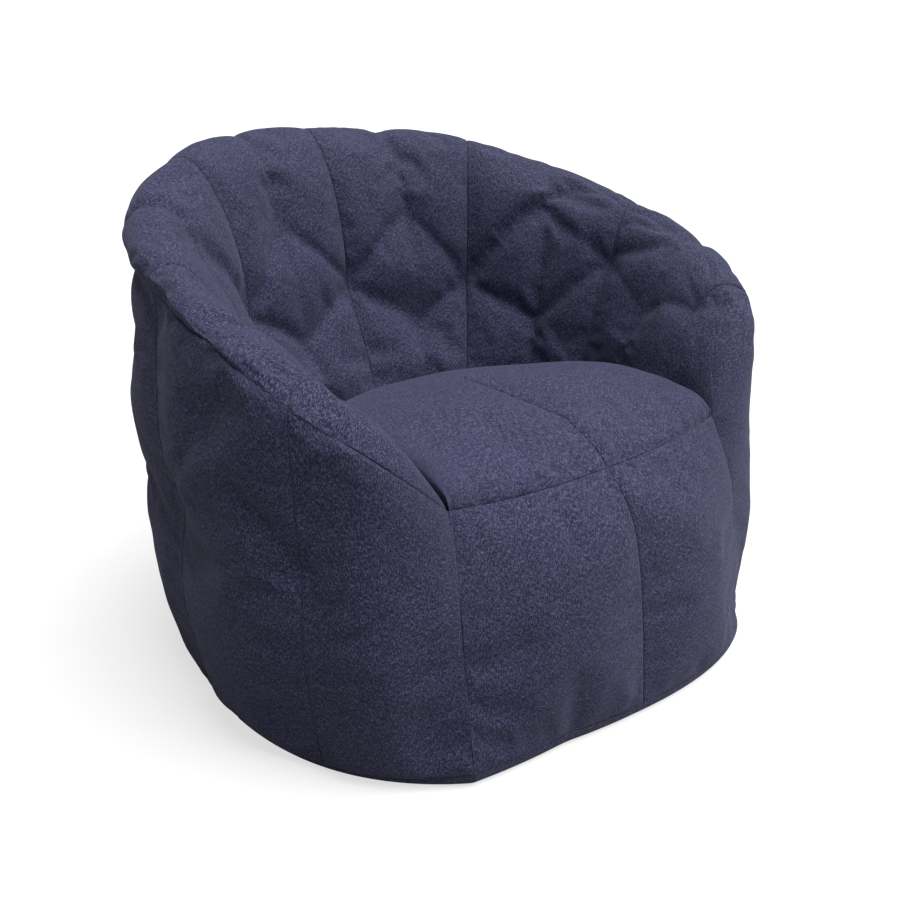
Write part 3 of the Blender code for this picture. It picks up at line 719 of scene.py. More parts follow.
seat_normals[-1] = front_normals[0, 1:-1] = halfway(seat_normals[-1], front_normals[0, 1:-1])
for column in (0, -1):
    beside = resample(wall_normals[OUTER_ROWS::-1, column], len(front_normals))
    front_normals[:, column] = halfway(beside, front_normals[:, column])
    wall_normals[: OUTER_ROWS + 1, column] = resample(front_normals[:, column], OUTER_ROWS + 1)[::-1]
for side_name, side in (("left", -1), ("right", 1)):
    for k in range(CORNER):
        ends = sorted((side * k, side * (k + 1)))
        first, last = (int(np.abs(STATIONS - end).argmin()) for end in ends)
        columns = slice(first, last + 1)
        for face, rows in (("outer", slice(0, OUTER_ROWS + 1)), ("inner", slice(OUTER_ROWS, None))):
            panel_name = f"wall_{face}_{side_name}_{k + 1}"
            panel = sewn_panel(
                f"{panel_name}_cloth", wall_cover[rows, columns], wall_normals[rows, columns], CLOTH)
            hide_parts(panel_name)

for part_name, cover, normals in (("seat", seat_cover, seat_normals), ("front", front_cover, front_normals)):
    middle = cover.shape[1] // 2
    for side_name, columns in (("left", slice(0, middle + 1)), ("right", slice(middle, None))):
        panel = sewn_panel(f"{part_name}_{side_name}_cloth", cover[:, columns], normals[:, columns], CLOTH)
        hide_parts(f"{part_name}_{side_name}")


# ---------------------------------------------------------------------------------------------
# Base.  Three more panels of the same cloth close the cover underneath, from the floor seam, with
# a full rounded edge under the chair's weight, to the two zips that run across it.

ZIP_Y = {
    name: (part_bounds(f"{name}_tape_front")[1].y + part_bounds(f"{name}_tape_rear")[0].y) / 2
    for name in ("seat_zip", "wall_zip")
}
ZIP_GAP = 0.016  # between the folded edges of the cloth at each zip
BASE_EDGE = 0.013  # how far in from the floor seam the cloth lies flat
BASE_LIFT = 0.0005
BASE_ALLOWANCE = 0.0024
REAR_CORNER = 0.345  # how far back the rear panel's sides end
FINE_POINTS = 2600
LINE_SLACK = 0.0007  # how far a point on the floor seam can be from the nearest fine point

floor_line = np.concatenate([wall_cover[0], front_cover[-1, -2:0:-1]])
floor_directions = np.concatenate([wall_normals[0], front_normals[-1, -2:0:-1]]) * (1, 1, 0)
floor_directions /= np.linalg.norm(floor_directions, axis=-1, keepdims=True)


def along_line(line, share):
    """Points at these shares of the length of an open line."""
    far = np.concatenate([[0], np.cumsum(np.linalg.norm(np.diff(line, axis=0), axis=-1))])
    return np.stack([np.interp(np.asarray(share) * far[-1], far, line[:, i]) for i in range(3)], axis=-1)


closed_line = np.concatenate([floor_line, floor_line[:1]])
closed_directions = np.concatenate([floor_directions, floor_directions[:1]])
steps = np.linalg.norm(np.diff(closed_line, axis=0), axis=-1)
line_share = np.concatenate([[0], np.cumsum(steps)]) / steps.sum()
fine_share = np.linspace(0, 1, FINE_POINTS)
fine_line = along_line(closed_line, fine_share)
fine_directions = [np.interp(fine_share, line_share, closed_directions[:, i]) for i in range(3)]
fine_directions = np.stack(fine_directions, axis=-1)


def cross_y(line, y):
    """Where a line first crosses a plane of constant y."""
    i = int(np.nonzero((line[:-1, 1] - y) * (line[1:, 1] - y) <= 0)[0][0])
    share = (y - line[i, 1]) / (line[i + 1, 1] - line[i, 1])
    return line[i] + (line[i + 1] - line[i]) * share


def four_sided(near, far, left, right, dense):
    """A grid between four lines that share their ends, denser towards the far and side lines."""
    across = np.linspace(-1, 1, 151)
    across = (0.45 * across + 0.55 * np.sin(across * math.pi / 2) + 1) / 2
    down = np.linspace(0, 1, 46)
    down = 0.3 * down + 0.7 * np.sin(down * math.pi / 2) if dense else down
    near, far = along_line(near, across)[None], along_line(far, across)[None]
    left, right = along_line(left, down)[:, None], along_line(right, down)[:, None]
    u, v = across[None, :, None], down[:, None, None]
    near_corners = (1 - u) * near[:, :1] + u * near[:, -1:]
    far_corners = (1 - u) * far[:, :1] + u * far[:, -1:]
    corners = (1 - v) * near_corners + v * far_corners
    return (1 - v) * near + v * far + (1 - u) * left + u * right - corners


def rounded_edge(points):
    """Lowers a grid from the floor seam's height onto the floor along a quarter circle, with its normals."""
    away = np.array([np.linalg.norm(row[:, None, :2] - fine_line[:, :2], axis=-1) for row in points])
    nearest = away.argmin(axis=-1)
    inwards = 1 - np.clip((away.min(axis=-1) - LINE_SLACK) / BASE_EDGE, 0, 1)
    height = fine_line[nearest, 2] - BASE_LIFT
    sink = np.sqrt(1 - inwards**2)
    points[..., 2] = BASE_LIFT + height * (1 - sink)
    normals = fine_directions[nearest] * (height * inwards)[..., None]
    normals[..., 2] -= BASE_EDGE * sink
    return points, normals / np.linalg.norm(normals, axis=-1, keepdims=True)


middle_column = len(STATIONS) // 2
left_line, right_line = wall_cover[0, : middle_column + 1], wall_cover[0, middle_column:][::-1]
seat_near = ZIP_Y["seat_zip"] - ZIP_GAP / 2, ZIP_Y["seat_zip"] + ZIP_GAP / 2
wall_near = ZIP_Y["wall_zip"] - ZIP_GAP / 2, ZIP_Y["wall_zip"] + ZIP_GAP / 2


def side_piece(line, near_y, far_y):
    """The part of one side of the floor seam between two values of y, from near to far."""
    low, high = sorted((near_y, far_y))
    inside = line[(line[:, 1] > low) & (line[:, 1] < high)]
    inside = inside if near_y < far_y else inside[::-1]
    return np.concatenate([[cross_y(line, near_y)], inside, [cross_y(line, far_y)]])


def cut_between(line, near_y):
    """One side of the floor seam from this y forwards to the chair's front corner."""
    return np.concatenate([[cross_y(line, near_y)], line[line[:, 1] < near_y][::-1]])


def straight_across(y):
    return np.array([cross_y(left_line, y), cross_y(right_line, y)])


back_curve = wall_cover[0][wall_cover[0][:, 1] > REAR_CORNER]
back_ends = straight_across(REAR_CORNER)
back_curve = np.concatenate([back_ends[:1], back_curve, back_ends[1:]])
side_lines = {"left": left_line, "right": right_line}
base_strips = {
    "base_front": four_sided(
        straight_across(seat_near[0]), front_cover[-1],
        *(cut_between(side_lines[side], seat_near[0]) for side in ("left", "right")), True,
    ),
    "base_middle": four_sided(
        straight_across(seat_near[1]), straight_across(wall_near[0]),
        *(side_piece(side_lines[side], seat_near[1], wall_near[0]) for side in ("left", "right")), False,
    ),
    "base_rear": four_sided(
        straight_across(wall_near[1]), back_curve,
        *(side_piece(side_lines[side], wall_near[1], REAR_CORNER) for side in ("left", "right")), True,
    ),
}
MIDDLE_ROW, MIDDLE_COLUMN = 20, 70  # a square near the middle of each strip
for strip_name, strip in base_strips.items():
    strip, downwards = rounded_edge(strip)
    corner = strip[MIDDLE_ROW, MIDDLE_COLUMN]
    down, over = strip[MIDDLE_ROW + 1, MIDDLE_COLUMN] - corner, strip[MIDDLE_ROW, MIDDLE_COLUMN + 1] - corner
    if np.cross(down, over)[2] > 0:
        strip, downwards = strip[:, ::-1], downwards[:, ::-1]
    panel = sewn_panel(f"{strip_name}_cloth", strip, downwards, CLOTH, BASE_ALLOWANCE)
    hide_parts(strip_name)


# ---------------------------------------------------------------------------------------------
# Bead fill.  Expanded polystyrene beads of 3 to 6 mm pack each chamber to just inside the cloth.
# Each mass is one pad whose face is pitted by the beads, with the outermost ones standing proud.

BEAD_SIZE = 0.0046
FILL_INSET = 0.019
FILL_FLOOR = 0.013
BEAD_SPACING = 0.013
WEBBING_ROOM = 0.005

bead_material, bead_tree, bead_shader = new_material("polystyrene_beads", roughness=0.5)
bead_shader.inputs["Subsurface Weight"].default_value = 0.15
bead_shader.inputs["Subsurface Scale"].default_value = 0.002
bead_cells = {"Vector": place_on_object(bead_tree), "Scale": 1 / BEAD_SIZE}
bead_away = node(bead_tree, "ShaderNodeTexVoronoi", bead_cells).outputs["Distance"]
bead_depth = calc(bead_tree, "SUBTRACT", 1.0, bead_away)
# Painted shade: the beads' colour darkens towards the gaps between them.
painted_bead_gap_shade = map_range(bead_tree, bead_depth, 0.25, 0.6)
two_tone(bead_tree, bead_shader, painted_bead_gap_shade, (0.42, 0.42, 0.43), (0.86, 0.87, 0.88))
raised(bead_tree, bead_shader, bead_depth, 0.8, 0.002)


def new_geometry_tree(name, inputs):
    """An empty Geometry Nodes tree with these named inputs, and its entry and exit nodes."""
    tree = bpy.data.node_groups.new(name, "GeometryNodeTree")
    group_socket(tree, "INPUT", "NodeSocketGeometry", "Geometry")
    for input_name, (kind, value) in inputs.items():
        group_socket(tree, "INPUT", kind, input_name, value)
    group_socket(tree, "OUTPUT", "NodeSocketGeometry", "Geometry")
    return tree, tree.nodes.new("NodeGroupInput"), tree.nodes.new("NodeGroupOutput")


def end_tree(tree, entry, leave, geometry):
    """Ends a tree by making its instances real and giving them the tree's material."""
    real = node(tree, "GeometryNodeRealizeInstances", {"Geometry": geometry})
    paint = {"Geometry": real.outputs[0], "Material": entry.outputs["Material"]}
    tree.links.new(node(tree, "GeometryNodeSetMaterial", paint).outputs[0], leave.inputs[0])


def grow(base, tree, values, name, body="chair"):
    """Runs a Geometry Nodes tree on an object, and keeps the result as one plain mesh."""
    modifier = base.modifiers.new(tree.name, "NODES")
    modifier.node_group = tree
    for item in tree.interface.items_tree:
        if item.in_out == "INPUT" and item.name in values:
            modifier[item.identifier] = values[item.name]
    bpy.context.view_layer.update()
    done = base.evaluated_get(bpy.context.evaluated_depsgraph_get())
    mesh = bpy.data.meshes.new_from_object(done)
    mesh.name = name
    bpy.data.objects.remove(base)
    made = new_object(name, mesh)
    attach(made, body)
    return made


def bead_scatter_tree():
    inputs = {
        "Spacing": ("NodeSocketFloat", BEAD_SPACING),
        "Bead Radius": ("NodeSocketFloat", BEAD_SIZE / 2),
        "Seed": ("NodeSocketInt", 7),
        "Material": ("NodeSocketMaterial", None),
    }
    tree, entry, leave = new_geometry_tree("bead_scatter", inputs)
    spread = {
        "Mesh": entry.outputs["Geometry"], "Distance Min": entry.outputs["Spacing"],
        "Seed": entry.outputs["Seed"], "Density Max": 9000.0,
    }
    scatter = node(tree, "GeometryNodeDistributePointsOnFaces", spread, distribute_method="POISSON")
    sphere = {"Radius": entry.outputs["Bead Radius"], "Subdivisions": 1}
    bead = node(tree, "GeometryNodeMeshIcoSphere", sphere)
    size = node(tree, "FunctionNodeRandomValue", {"Seed": entry.outputs["Seed"]}, data_type="FLOAT")
    size.inputs[2].default_value = 0.65
    size.inputs[3].default_value = 1.3
    placed = node(tree, "GeometryNodeInstanceOnPoints", {
        "Points": scatter.outputs["Points"], "Instance": bead.outputs["Mesh"],
        "Rotation": scatter.outputs["Rotation"], "Scale": size.outputs[1],
    })
    joined = tree.nodes.new("GeometryNodeJoinGeometry")
    tree.links.new(placed.outputs[0], joined.inputs[0])
    tree.links.new(entry.outputs["Geometry"], joined.inputs[0])
    end_tree(tree, entry, leave, joined.outputs[0])
    return tree


BEAD_SCATTER = bead_scatter_tree()


def face_outwards(mesh):
    shape = bmesh.new()
    shape.from_mesh(mesh)
    bmesh.ops.recalc_face_normals(shape, faces=shape.faces)
    shape.to_mesh(mesh)
    shape.free()


def mesh_from_grid(name, points, tube=False):
    """A mesh of a grid of points, or a tube closed round its rows with a flat cap at both ends."""
    rows, columns = points.shape[:2]
    index = np.arange(rows * columns).reshape(rows, columns)
    if tube:
        index = np.concatenate([index, index[:, :1]], axis=1)
    faces = np.stack([index[:-1, :-1], index[1:, :-1], index[1:, 1:], index[:-1, 1:]], axis=-1)
    faces = faces.reshape(-1, 4).tolist()
    if tube:
        faces += [index[0, :columns].tolist(), index[-1, :columns][::-1].tolist()]
    mesh = bpy.data.meshes.new(name)
    mesh.from_pydata(points.reshape(-1, 3).tolist(), [], faces)
    face_outwards(mesh)
    mesh.shade_smooth()
    return mesh


def bead_pad(name, mesh, seed):
    values = {"Seed": seed, "Material": bead_material}
    pad = grow(new_object(name, mesh), BEAD_SCATTER, values, f"{name}_beads")
    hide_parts(name)


def even_loops(loops, count=96):
    """Closed loops, one per row, with their points spread evenly."""
    shares = np.arange(count) / count
    return np.array([along_line(np.concatenate([loop, loop[:1]]), shares) for loop in loops])


def shrink_sections(sections, distance, steps=12):
    """Moves closed section loops (one per row) inwards all round, and clear of the cover."""
    loops = even_loops(sections)
    for _ in range(steps):
        ahead = np.roll(loops, -1, axis=1) - np.roll(loops, 1, axis=1)
        beside = np.gradient(loops, axis=0)
        inwards = np.cross(ahead, beside)
        inwards /= np.linalg.norm(inwards, axis=-1, keepdims=True) + 1e-9
        middle = loops.mean(axis=1, keepdims=True)
        inwards *= np.sign((inwards * (middle - loops)).sum(axis=-1).sum(axis=1))[:, None, None]
        loops = loops + inwards * distance / steps
        loops = 0.6 * loops + 0.2 * (np.roll(loops, 1, axis=1) + np.roll(loops, -1, axis=1))
        loops = even_loops(loops)
    for _ in range(3):
        for loop in loops:
            for i, point in enumerate(loop):
                near, index, _ = COVER_TREE.find(point)
                depth = float((np.array(near) - point) @ cover_directions[index])
                if depth < distance * 0.75:
                    loop[i] = point - cover_directions[index] * (distance * 0.75 - depth)
    loops[..., 2] = np.maximum(loops[..., 2], FILL_FLOOR)
    return loops


def all_points(*forms):
    return np.concatenate([form.reshape(-1, 3) for form in forms])


cover_points = all_points(wall_cover, seat_cover, front_cover)
cover_directions = all_points(wall_normals, seat_normals, front_normals)
COVER_TREE = KDTree(len(cover_points))
for i, point in enumerate(cover_points):
    COVER_TREE.insert(point, i)
COVER_TREE.balance()


def foot_rows(foot, shares):
    """The seat join's line at shares of its height, which is the side the two chambers share."""
    rows = np.repeat(foot[None], len(shares), axis=0)
    rows[..., 2] = foot[:, 2] * shares[:, None]
    return rows


PAD_STATION = 3.40
first_column, last_column = (int(np.abs(STATIONS - end).argmin()) for end in (-PAD_STATION, PAD_STATION))
pad_columns = np.arange(first_column, last_column + 1, 3)
pad_skin = wall_cover[1:-1:3][:, pad_columns]
pad_foot = foot_rows(ring_line("seat_join", STATIONS[pad_columns]), np.linspace(0.94, 0.02, 12))
wall_section = shrink_sections(np.concatenate([pad_skin, pad_foot]).swapaxes(0, 1), FILL_INSET)
bead_pad("bead_fill_wall", mesh_from_grid("wall_beads", wall_section, tube=True), 3)

seat_columns = slice(9, -9)
top = seat_cover[1:-1:3, seat_columns]
down_front = front_cover[1::3, 1:-1][:, seat_columns]
seat_foot = ring_line("seat_join", CORNER * SEAT_ACROSS[seat_columns])
seat_foot = foot_rows(seat_foot, np.linspace(0.02, 0.94, 12))
seat_section = shrink_sections(np.concatenate([top, down_front, seat_foot]).swapaxes(0, 1), FILL_INSET)
bead_pad("bead_fill_seat", mesh_from_grid("seat_beads", seat_section, tube=True), 5)


# ---------------------------------------------------------------------------------------------
# Chamber divider.  One upright sheet of plain polyester lining keeps the seat's beads apart from
# the wall's.  It is sewn into the seat join above and to the base below, and pulls into shallow
# upright ripples between them.

LINING_THICK = 0.0008
DIVIDER_BELOW_JOIN = 0.012
RIPPLE = 0.0011

lining_material, lining_tree, lining_shader = new_material("lining_cloth", sheen=0.05)
woven(lining_tree, lining_shader, 1.0, 0.0002, {
    "Yarn Pitch": 0.0007,
    "Dark Yarn": (0.10, 0.10, 0.11, 1),
    "Mid Yarn": (0.17, 0.17, 0.185, 1),
    "Light Yarn": (0.24, 0.24, 0.26, 1),
})


def finished(name, mesh, material, replaced, body="chair"):
    mesh.materials.append(material)
    piece = new_object(name, mesh)
    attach(piece, body)
    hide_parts(replaced)
    return piece


def thicken(piece, name, thickness):
    """Gives a thin sheet its thickness, half to each side."""
    solid = piece.modifiers.new(name, "SOLIDIFY")
    solid.thickness = thickness
    solid.offset = 0


divider_stations = np.linspace(-3.72, 3.72, 181)
divider_top = ring_line("seat_join", divider_stations)
divider_away = (divider_top - (0, WALL_AXIS_Y, 0)) * (1, 1, 0)
divider_away /= np.linalg.norm(divider_away, axis=-1, keepdims=True)
divider_drop = np.linspace(0, 1, 25)[:, None]
divider = np.repeat(divider_top[None], 25, axis=0)
divider[..., 2] = (divider_top[:, 2] - DIVIDER_BELOW_JOIN) * (1 - divider_drop) + FILL_FLOOR * divider_drop
ripple_wave = np.sin(divider_stations * 31) + 0.6 * np.sin(divider_stations * 53 + 1.3)
divider += divider_away * (RIPPLE * ripple_wave * np.sin(divider_drop * math.pi))[..., None]
divider_mesh = mesh_from_grid("chamber_divider_lining", divider)
lay_flat(divider_mesh, cut_pattern(divider))
divider_sheet = finished(
    "chamber_divider_lining", divider_mesh, lining_material, "chamber_divider")
thicken(divider_sheet, "lining_thickness", LINING_THICK)


# ---------------------------------------------------------------------------------------------
# Wall ties.  Seven lengths of 50 mm polyester webbing cross the wall inside it, one at each
# upright seam.  Each end is folded back on itself and sewn to the seam with a boxed cross.

WEBBING_THICK = 0.0015
WEBBING_TURN = 0.022
FOLD_STAND = 1.1  # how far a folded end lies behind the strap, in thicknesses
STITCH_LENGTH = 0.0030
THREAD_THICK = 0.0005

webbing_material, webbing_tree, webbing_shader = new_material("polyester_webbing", sheen=0.08)
webbing_xyz = node(webbing_tree, "ShaderNodeSeparateXYZ", {0: place_on_cut(webbing_tree)})


def ripples(tree, place, wave_length):
    return calc(tree, "SINE", calc(tree, "MULTIPLY", place, 2 * math.pi / wave_length))


rib = ripples(webbing_tree, webbing_xyz.outputs[0], 0.0011)
chevron = calc(webbing_tree, "PINGPONG", webbing_xyz.outputs[0], 0.004)
twill = ripples(webbing_tree, calc(webbing_tree, "ADD", webbing_xyz.outputs[1], chevron), 0.0022)
webbing_height = calc(webbing_tree, "MULTIPLY_ADD", rib, 0.5, twill)
# Painted shade: the webbing's colour darkens in the dips of its ribs and twill.
webbing_painted_dip_shade = map_range(webbing_tree, webbing_height, -1.4, 1.4)
two_tone(webbing_tree, webbing_shader, webbing_painted_dip_shade, (0.010, 0.010, 0.014), (0.036, 0.036, 0.048))
raised(webbing_tree, webbing_shader, webbing_height, 0.6, 0.0003)

thread_material, thread_tree, thread_shader = new_material("bonded_thread", roughness=0.45)
twist = noise(thread_tree, place_on_object(thread_tree), 2200.0)[0]
two_tone(thread_tree, thread_shader, twist, (0.020, 0.020, 0.050), (0.070, 0.070, 0.120))


def stitch_tree():
    """One stitch on each point: a short, round-ended length of thread laid along its direction."""
    inputs = {
        "Stitch Length": ("NodeSocketFloat", STITCH_LENGTH),
        "Thread Radius": ("NodeSocketFloat", THREAD_THICK / 2),
        "Material": ("NodeSocketMaterial", None),
    }
    tree, entry, leave = new_geometry_tree("lockstitch", inputs)
    stitch = node(tree, "GeometryNodeMeshUVSphere", {"Segments": 6, "Rings": 5, "Radius": 0.5})
    long = calc(tree, "MULTIPLY", entry.outputs["Stitch Length"], 0.86)
    thick = calc(tree, "MULTIPLY", entry.outputs["Thread Radius"], 2.0)
    size = node(tree, "ShaderNodeCombineXYZ", {0: thick, 1: thick, 2: long})
    way = node(tree, "GeometryNodeInputNamedAttribute", {"Name": "run"}, data_type="FLOAT_VECTOR")
    turn = node(tree, "FunctionNodeAlignRotationToVector", {"Vector": way.outputs[0]}, axis="Z")
    placed = node(tree, "GeometryNodeInstanceOnPoints", {
        "Points": entry.outputs["Geometry"], "Instance": stitch.outputs["Mesh"],
        "Rotation": turn.outputs[0], "Scale": size.outputs[0],
    })
    end_tree(tree, entry, leave, placed.outputs[0])
    return tree


LOCKSTITCH = stitch_tree()


def stitch_lines(name, lines):
    """Sews lockstitches along straight lines, each a pair of points."""
    places, runs = [], []
    for start, end in lines:
        start, end = np.array(start), np.array(end)
        count = max(2, int(round(np.linalg.norm(end - start) / STITCH_LENGTH)))
        places += [start + (end - start) * (i + 0.5) / count for i in range(count)]
        runs += [(end - start) / np.linalg.norm(end - start)] * count
    mesh = bpy.data.meshes.new(name)
    mesh.from_pydata([tuple(p) for p in places], [], [])
    run = mesh.attributes.new("run", "FLOAT_VECTOR", "POINT")
    run.data.foreach_set("vector", np.array(runs, np.float32).reshape(-1))
    return grow(new_object(name, mesh), LOCKSTITCH, {"Material": thread_material}, name)


def boxed_cross(corner, over, up):
    """The four sides and two diagonals of a box of stitches."""
    a, b, c, d = corner, corner + over, corner + over + up, corner + up
    return [(a, b), (b, c), (c, d), (d, a), (a, c), (b, d)]


def part_box(name):
    """The low and high corners of a part's box."""
    return (np.array(corner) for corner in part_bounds(name))


tie_stitches = []
for station in range(-CORNER + 1, CORNER):
    side_name = "left" if station < 0 else "right"
    tie_name = "wall_tie_middle" if station == 0 else f"wall_tie_{side_name}_{abs(station)}"
    low, high = part_box(tie_name)
    column = wall_cover[:, int(np.abs(STATIONS - station).argmin())]
    radii = np.hypot(column[:, 0], column[:, 1] - WALL_AXIS_Y)
    crest = int(column[:, 2].argmax())
    heights = np.linspace(low[2], high[2], 9)
    outer = np.interp(heights, column[:crest, 2], radii[:crest]).min() - WEBBING_ROOM
    inner = np.interp(heights, column[crest:, 2][::-1], radii[crest:][::-1]).max() + WEBBING_ROOM
    angle = math.copysign(math.radians(SEAM_ANGLES[abs(station)]), station)
    away = np.array([math.sin(angle), math.cos(angle), 0])
    over = np.array([away[1], -away[0], 0])
    up = np.array([0, 0, high[2] - low[2]])
    axis_point = np.array([0, WALL_AXIS_Y, low[2]])
    # The webbing runs out, and turns back under itself at each end.
    run = [(inner + WEBBING_TURN, -FOLD_STAND), *[(inner, s) for s in np.linspace(-FOLD_STAND, 0, 4)]]
    run += [(inner + (outer - inner) * t, 0.9 * math.sin(t * math.pi)) for t in np.linspace(0, 1, 24)[1:]]
    run += [(outer, s) for s in np.linspace(-0.4, -FOLD_STAND, 3)] + [(outer - WEBBING_TURN, -FOLD_STAND)]
    line = np.array([axis_point + away * r + over * s * WEBBING_THICK for r, s in run])
    strap = line[None] + np.linspace(0, 1, 7)[:, None, None] * up
    tie_mesh = mesh_from_grid(f"{tie_name}_webbing", strap)
    lay_flat(tie_mesh, cut_pattern(strap))
    tie = finished(f"{tie_name}_webbing", tie_mesh, webbing_material, tie_name)
    thicken(tie, "webbing_thickness", WEBBING_THICK * 0.9)
    for start in (inner + 0.004, outer - WEBBING_TURN + 0.002):
        corner = axis_point + away * start + up * 0.1 + over * WEBBING_THICK * 0.75
        tie_stitches += boxed_cross(corner, away * (WEBBING_TURN - 0.006), up * 0.8)
stitch_lines("wall_tie_stitches", tie_stitches)


# ---------------------------------------------------------------------------------------------
# Zips.  Each fill opening is closed by a number 5 nylon coil zip, 400 mm long: two woven tapes
# with a coil sewn along each, a crimped metal stop at both ends, and a die-cast locking slider
# without a pull, so that a child can't open it.

COIL_PITCH = 0.0015
COIL_WIRE = 0.00028
TAPE_RIB = 0.0009
STITCH_INSET = 0.0025  # from the cloth's folded edge to its line of stitches

tape_material, tape_tree, tape_shader = new_material("zip_tape", sheen=0.06)
tape_place = node(tape_tree, "ShaderNodeSeparateXYZ", {0: place_on_object(tape_tree)})
tape_rib = ripples(tape_tree, tape_place.outputs[1], TAPE_RIB)
tape_pick = ripples(tape_tree, tape_place.outputs[0], TAPE_RIB)
tape_height = calc(tape_tree, "MULTIPLY_ADD", tape_pick, 0.4, tape_rib)
# Painted shade: the tape's colour darkens in the dips between its ribs.
tape_painted_dip_shade = map_range(tape_tree, tape_height, -1.4, 1.4)
two_tone(tape_tree, tape_shader, tape_painted_dip_shade, (0.008, 0.008, 0.020), (0.026, 0.026, 0.056))
raised(tape_tree, tape_shader, tape_height, 0.6, 0.0002)

coil_material, coil_tree, coil_shader = new_material("nylon_coil", roughness=0.35)
coil_scuff = noise(coil_tree, place_on_object(coil_tree), 900.0, 3.0)[0]
two_tone(coil_tree, coil_shader, coil_scuff, (0.010, 0.010, 0.026), (0.030, 0.030, 0.058))
coil_gloss = calc(coil_tree, "MULTIPLY_ADD", coil_scuff, 0.25, 0.25)
coil_tree.links.new(coil_gloss, coil_shader.inputs["Roughness"])

metal_material, metal_tree, metal_shader = new_material("slider_metal", roughness=0.35)
metal_shader.inputs["Metallic"].default_value = 1.0
metal_wear = noise(metal_tree, place_on_object(metal_tree), 1400.0, 4.0)[0]
two_tone(metal_tree, metal_shader, metal_wear, (0.22, 0.22, 0.23), (0.46, 0.46, 0.47))
metal_gloss = calc(metal_tree, "MULTIPLY_ADD", metal_wear, 0.35, 0.18)
metal_tree.links.new(metal_gloss, metal_shader.inputs["Roughness"])
raised(metal_tree, metal_shader, metal_wear, 0.2, 0.0001)


def coil_tree_nodes():
    """Leaning oval turns of wire side by side along X, from the first point of the piece it is put on."""
    inputs = {
        "Turns": ("NodeSocketInt", 200),
        "Pitch": ("NodeSocketFloat", COIL_PITCH),
        "Width": ("NodeSocketFloat", 0.0022),
        "Height": ("NodeSocketFloat", 0.0016),
        "Wire Radius": ("NodeSocketFloat", COIL_WIRE),
        "Material": ("NodeSocketMaterial", None),
    }
    tree, entry, leave = new_geometry_tree("zip_coil_turns", inputs)
    offset = node(tree, "ShaderNodeCombineXYZ", {0: entry.outputs["Pitch"]}).outputs[0]
    row = node(tree, "GeometryNodeMeshLine", {"Count": entry.outputs["Turns"], "Offset": offset})
    ring = node(tree, "GeometryNodeCurvePrimitiveCircle", {"Resolution": 10, "Radius": 0.5}, mode="RADIUS")
    wire_thick = calc(tree, "MULTIPLY", entry.outputs["Wire Radius"], 2.0)
    wide = calc(tree, "SUBTRACT", entry.outputs["Width"], wire_thick)
    tall = calc(tree, "SUBTRACT", entry.outputs["Height"], wire_thick)
    oval = node(tree, "ShaderNodeCombineXYZ", {0: tall, 1: wide, 2: 1.0})
    lean = {"Geometry": ring.outputs[0], "Rotation": (0.0, math.pi / 2, 0.22), "Scale": oval.outputs[0]}
    path = node(tree, "GeometryNodeTransform", lean).outputs[0]
    thick = {"Resolution": 5, "Radius": entry.outputs["Wire Radius"]}
    wire = node(tree, "GeometryNodeCurvePrimitiveCircle", thick).outputs[0]
    turn = node(tree, "GeometryNodeCurveToMesh", {"Curve": path, "Profile Curve": wire}).outputs[0]
    placed = node(tree, "GeometryNodeInstanceOnPoints", {"Points": row.outputs[0], "Instance": turn})
    end_tree(tree, entry, leave, placed.outputs[0])
    return tree


COIL_TURNS = coil_tree_nodes()


def rounded_box(name, low, high, radius, segments=2):
    low, high = np.array(low), np.array(high)
    shape = bmesh.new()
    bmesh.ops.create_cube(shape, size=1)
    for vertex in shape.verts:
        vertex.co = (low + high) / 2 + np.array(vertex.co) * (high - low)
    bmesh.ops.bevel(shape, geom=shape.edges[:], offset=radius, segments=segments, profile=0.5, affect="EDGES")
    mesh = bpy.data.meshes.new(name)
    shape.to_mesh(mesh)
    shape.free()
    mesh.shade_smooth()
    return mesh


def tape_mesh(name, low, high, coil_side):
    """A woven tape with a thicker corded edge on the side of its coil."""
    profile = [(0.0, 0.0), (0.0, 1.0), (0.10, 1.35), (0.17, 1.0), (0.97, 1.0), (1.0, 0.6), (1.0, 0.3)]
    profile += [(0.97, 0.0)]
    start, end = (low[1], high[1]) if coil_side > 0 else (high[1], low[1])
    thick = high[2] - low[2]
    rows = []
    for x in np.linspace(low[0], high[0], 60):
        wave = 0.00012 * math.sin(x * 90)
        rows.append([(x, start + (end - start) * a, low[2] + thick * b + wave) for a, b in profile])
    return mesh_from_grid(name, np.array(rows), tube=True)


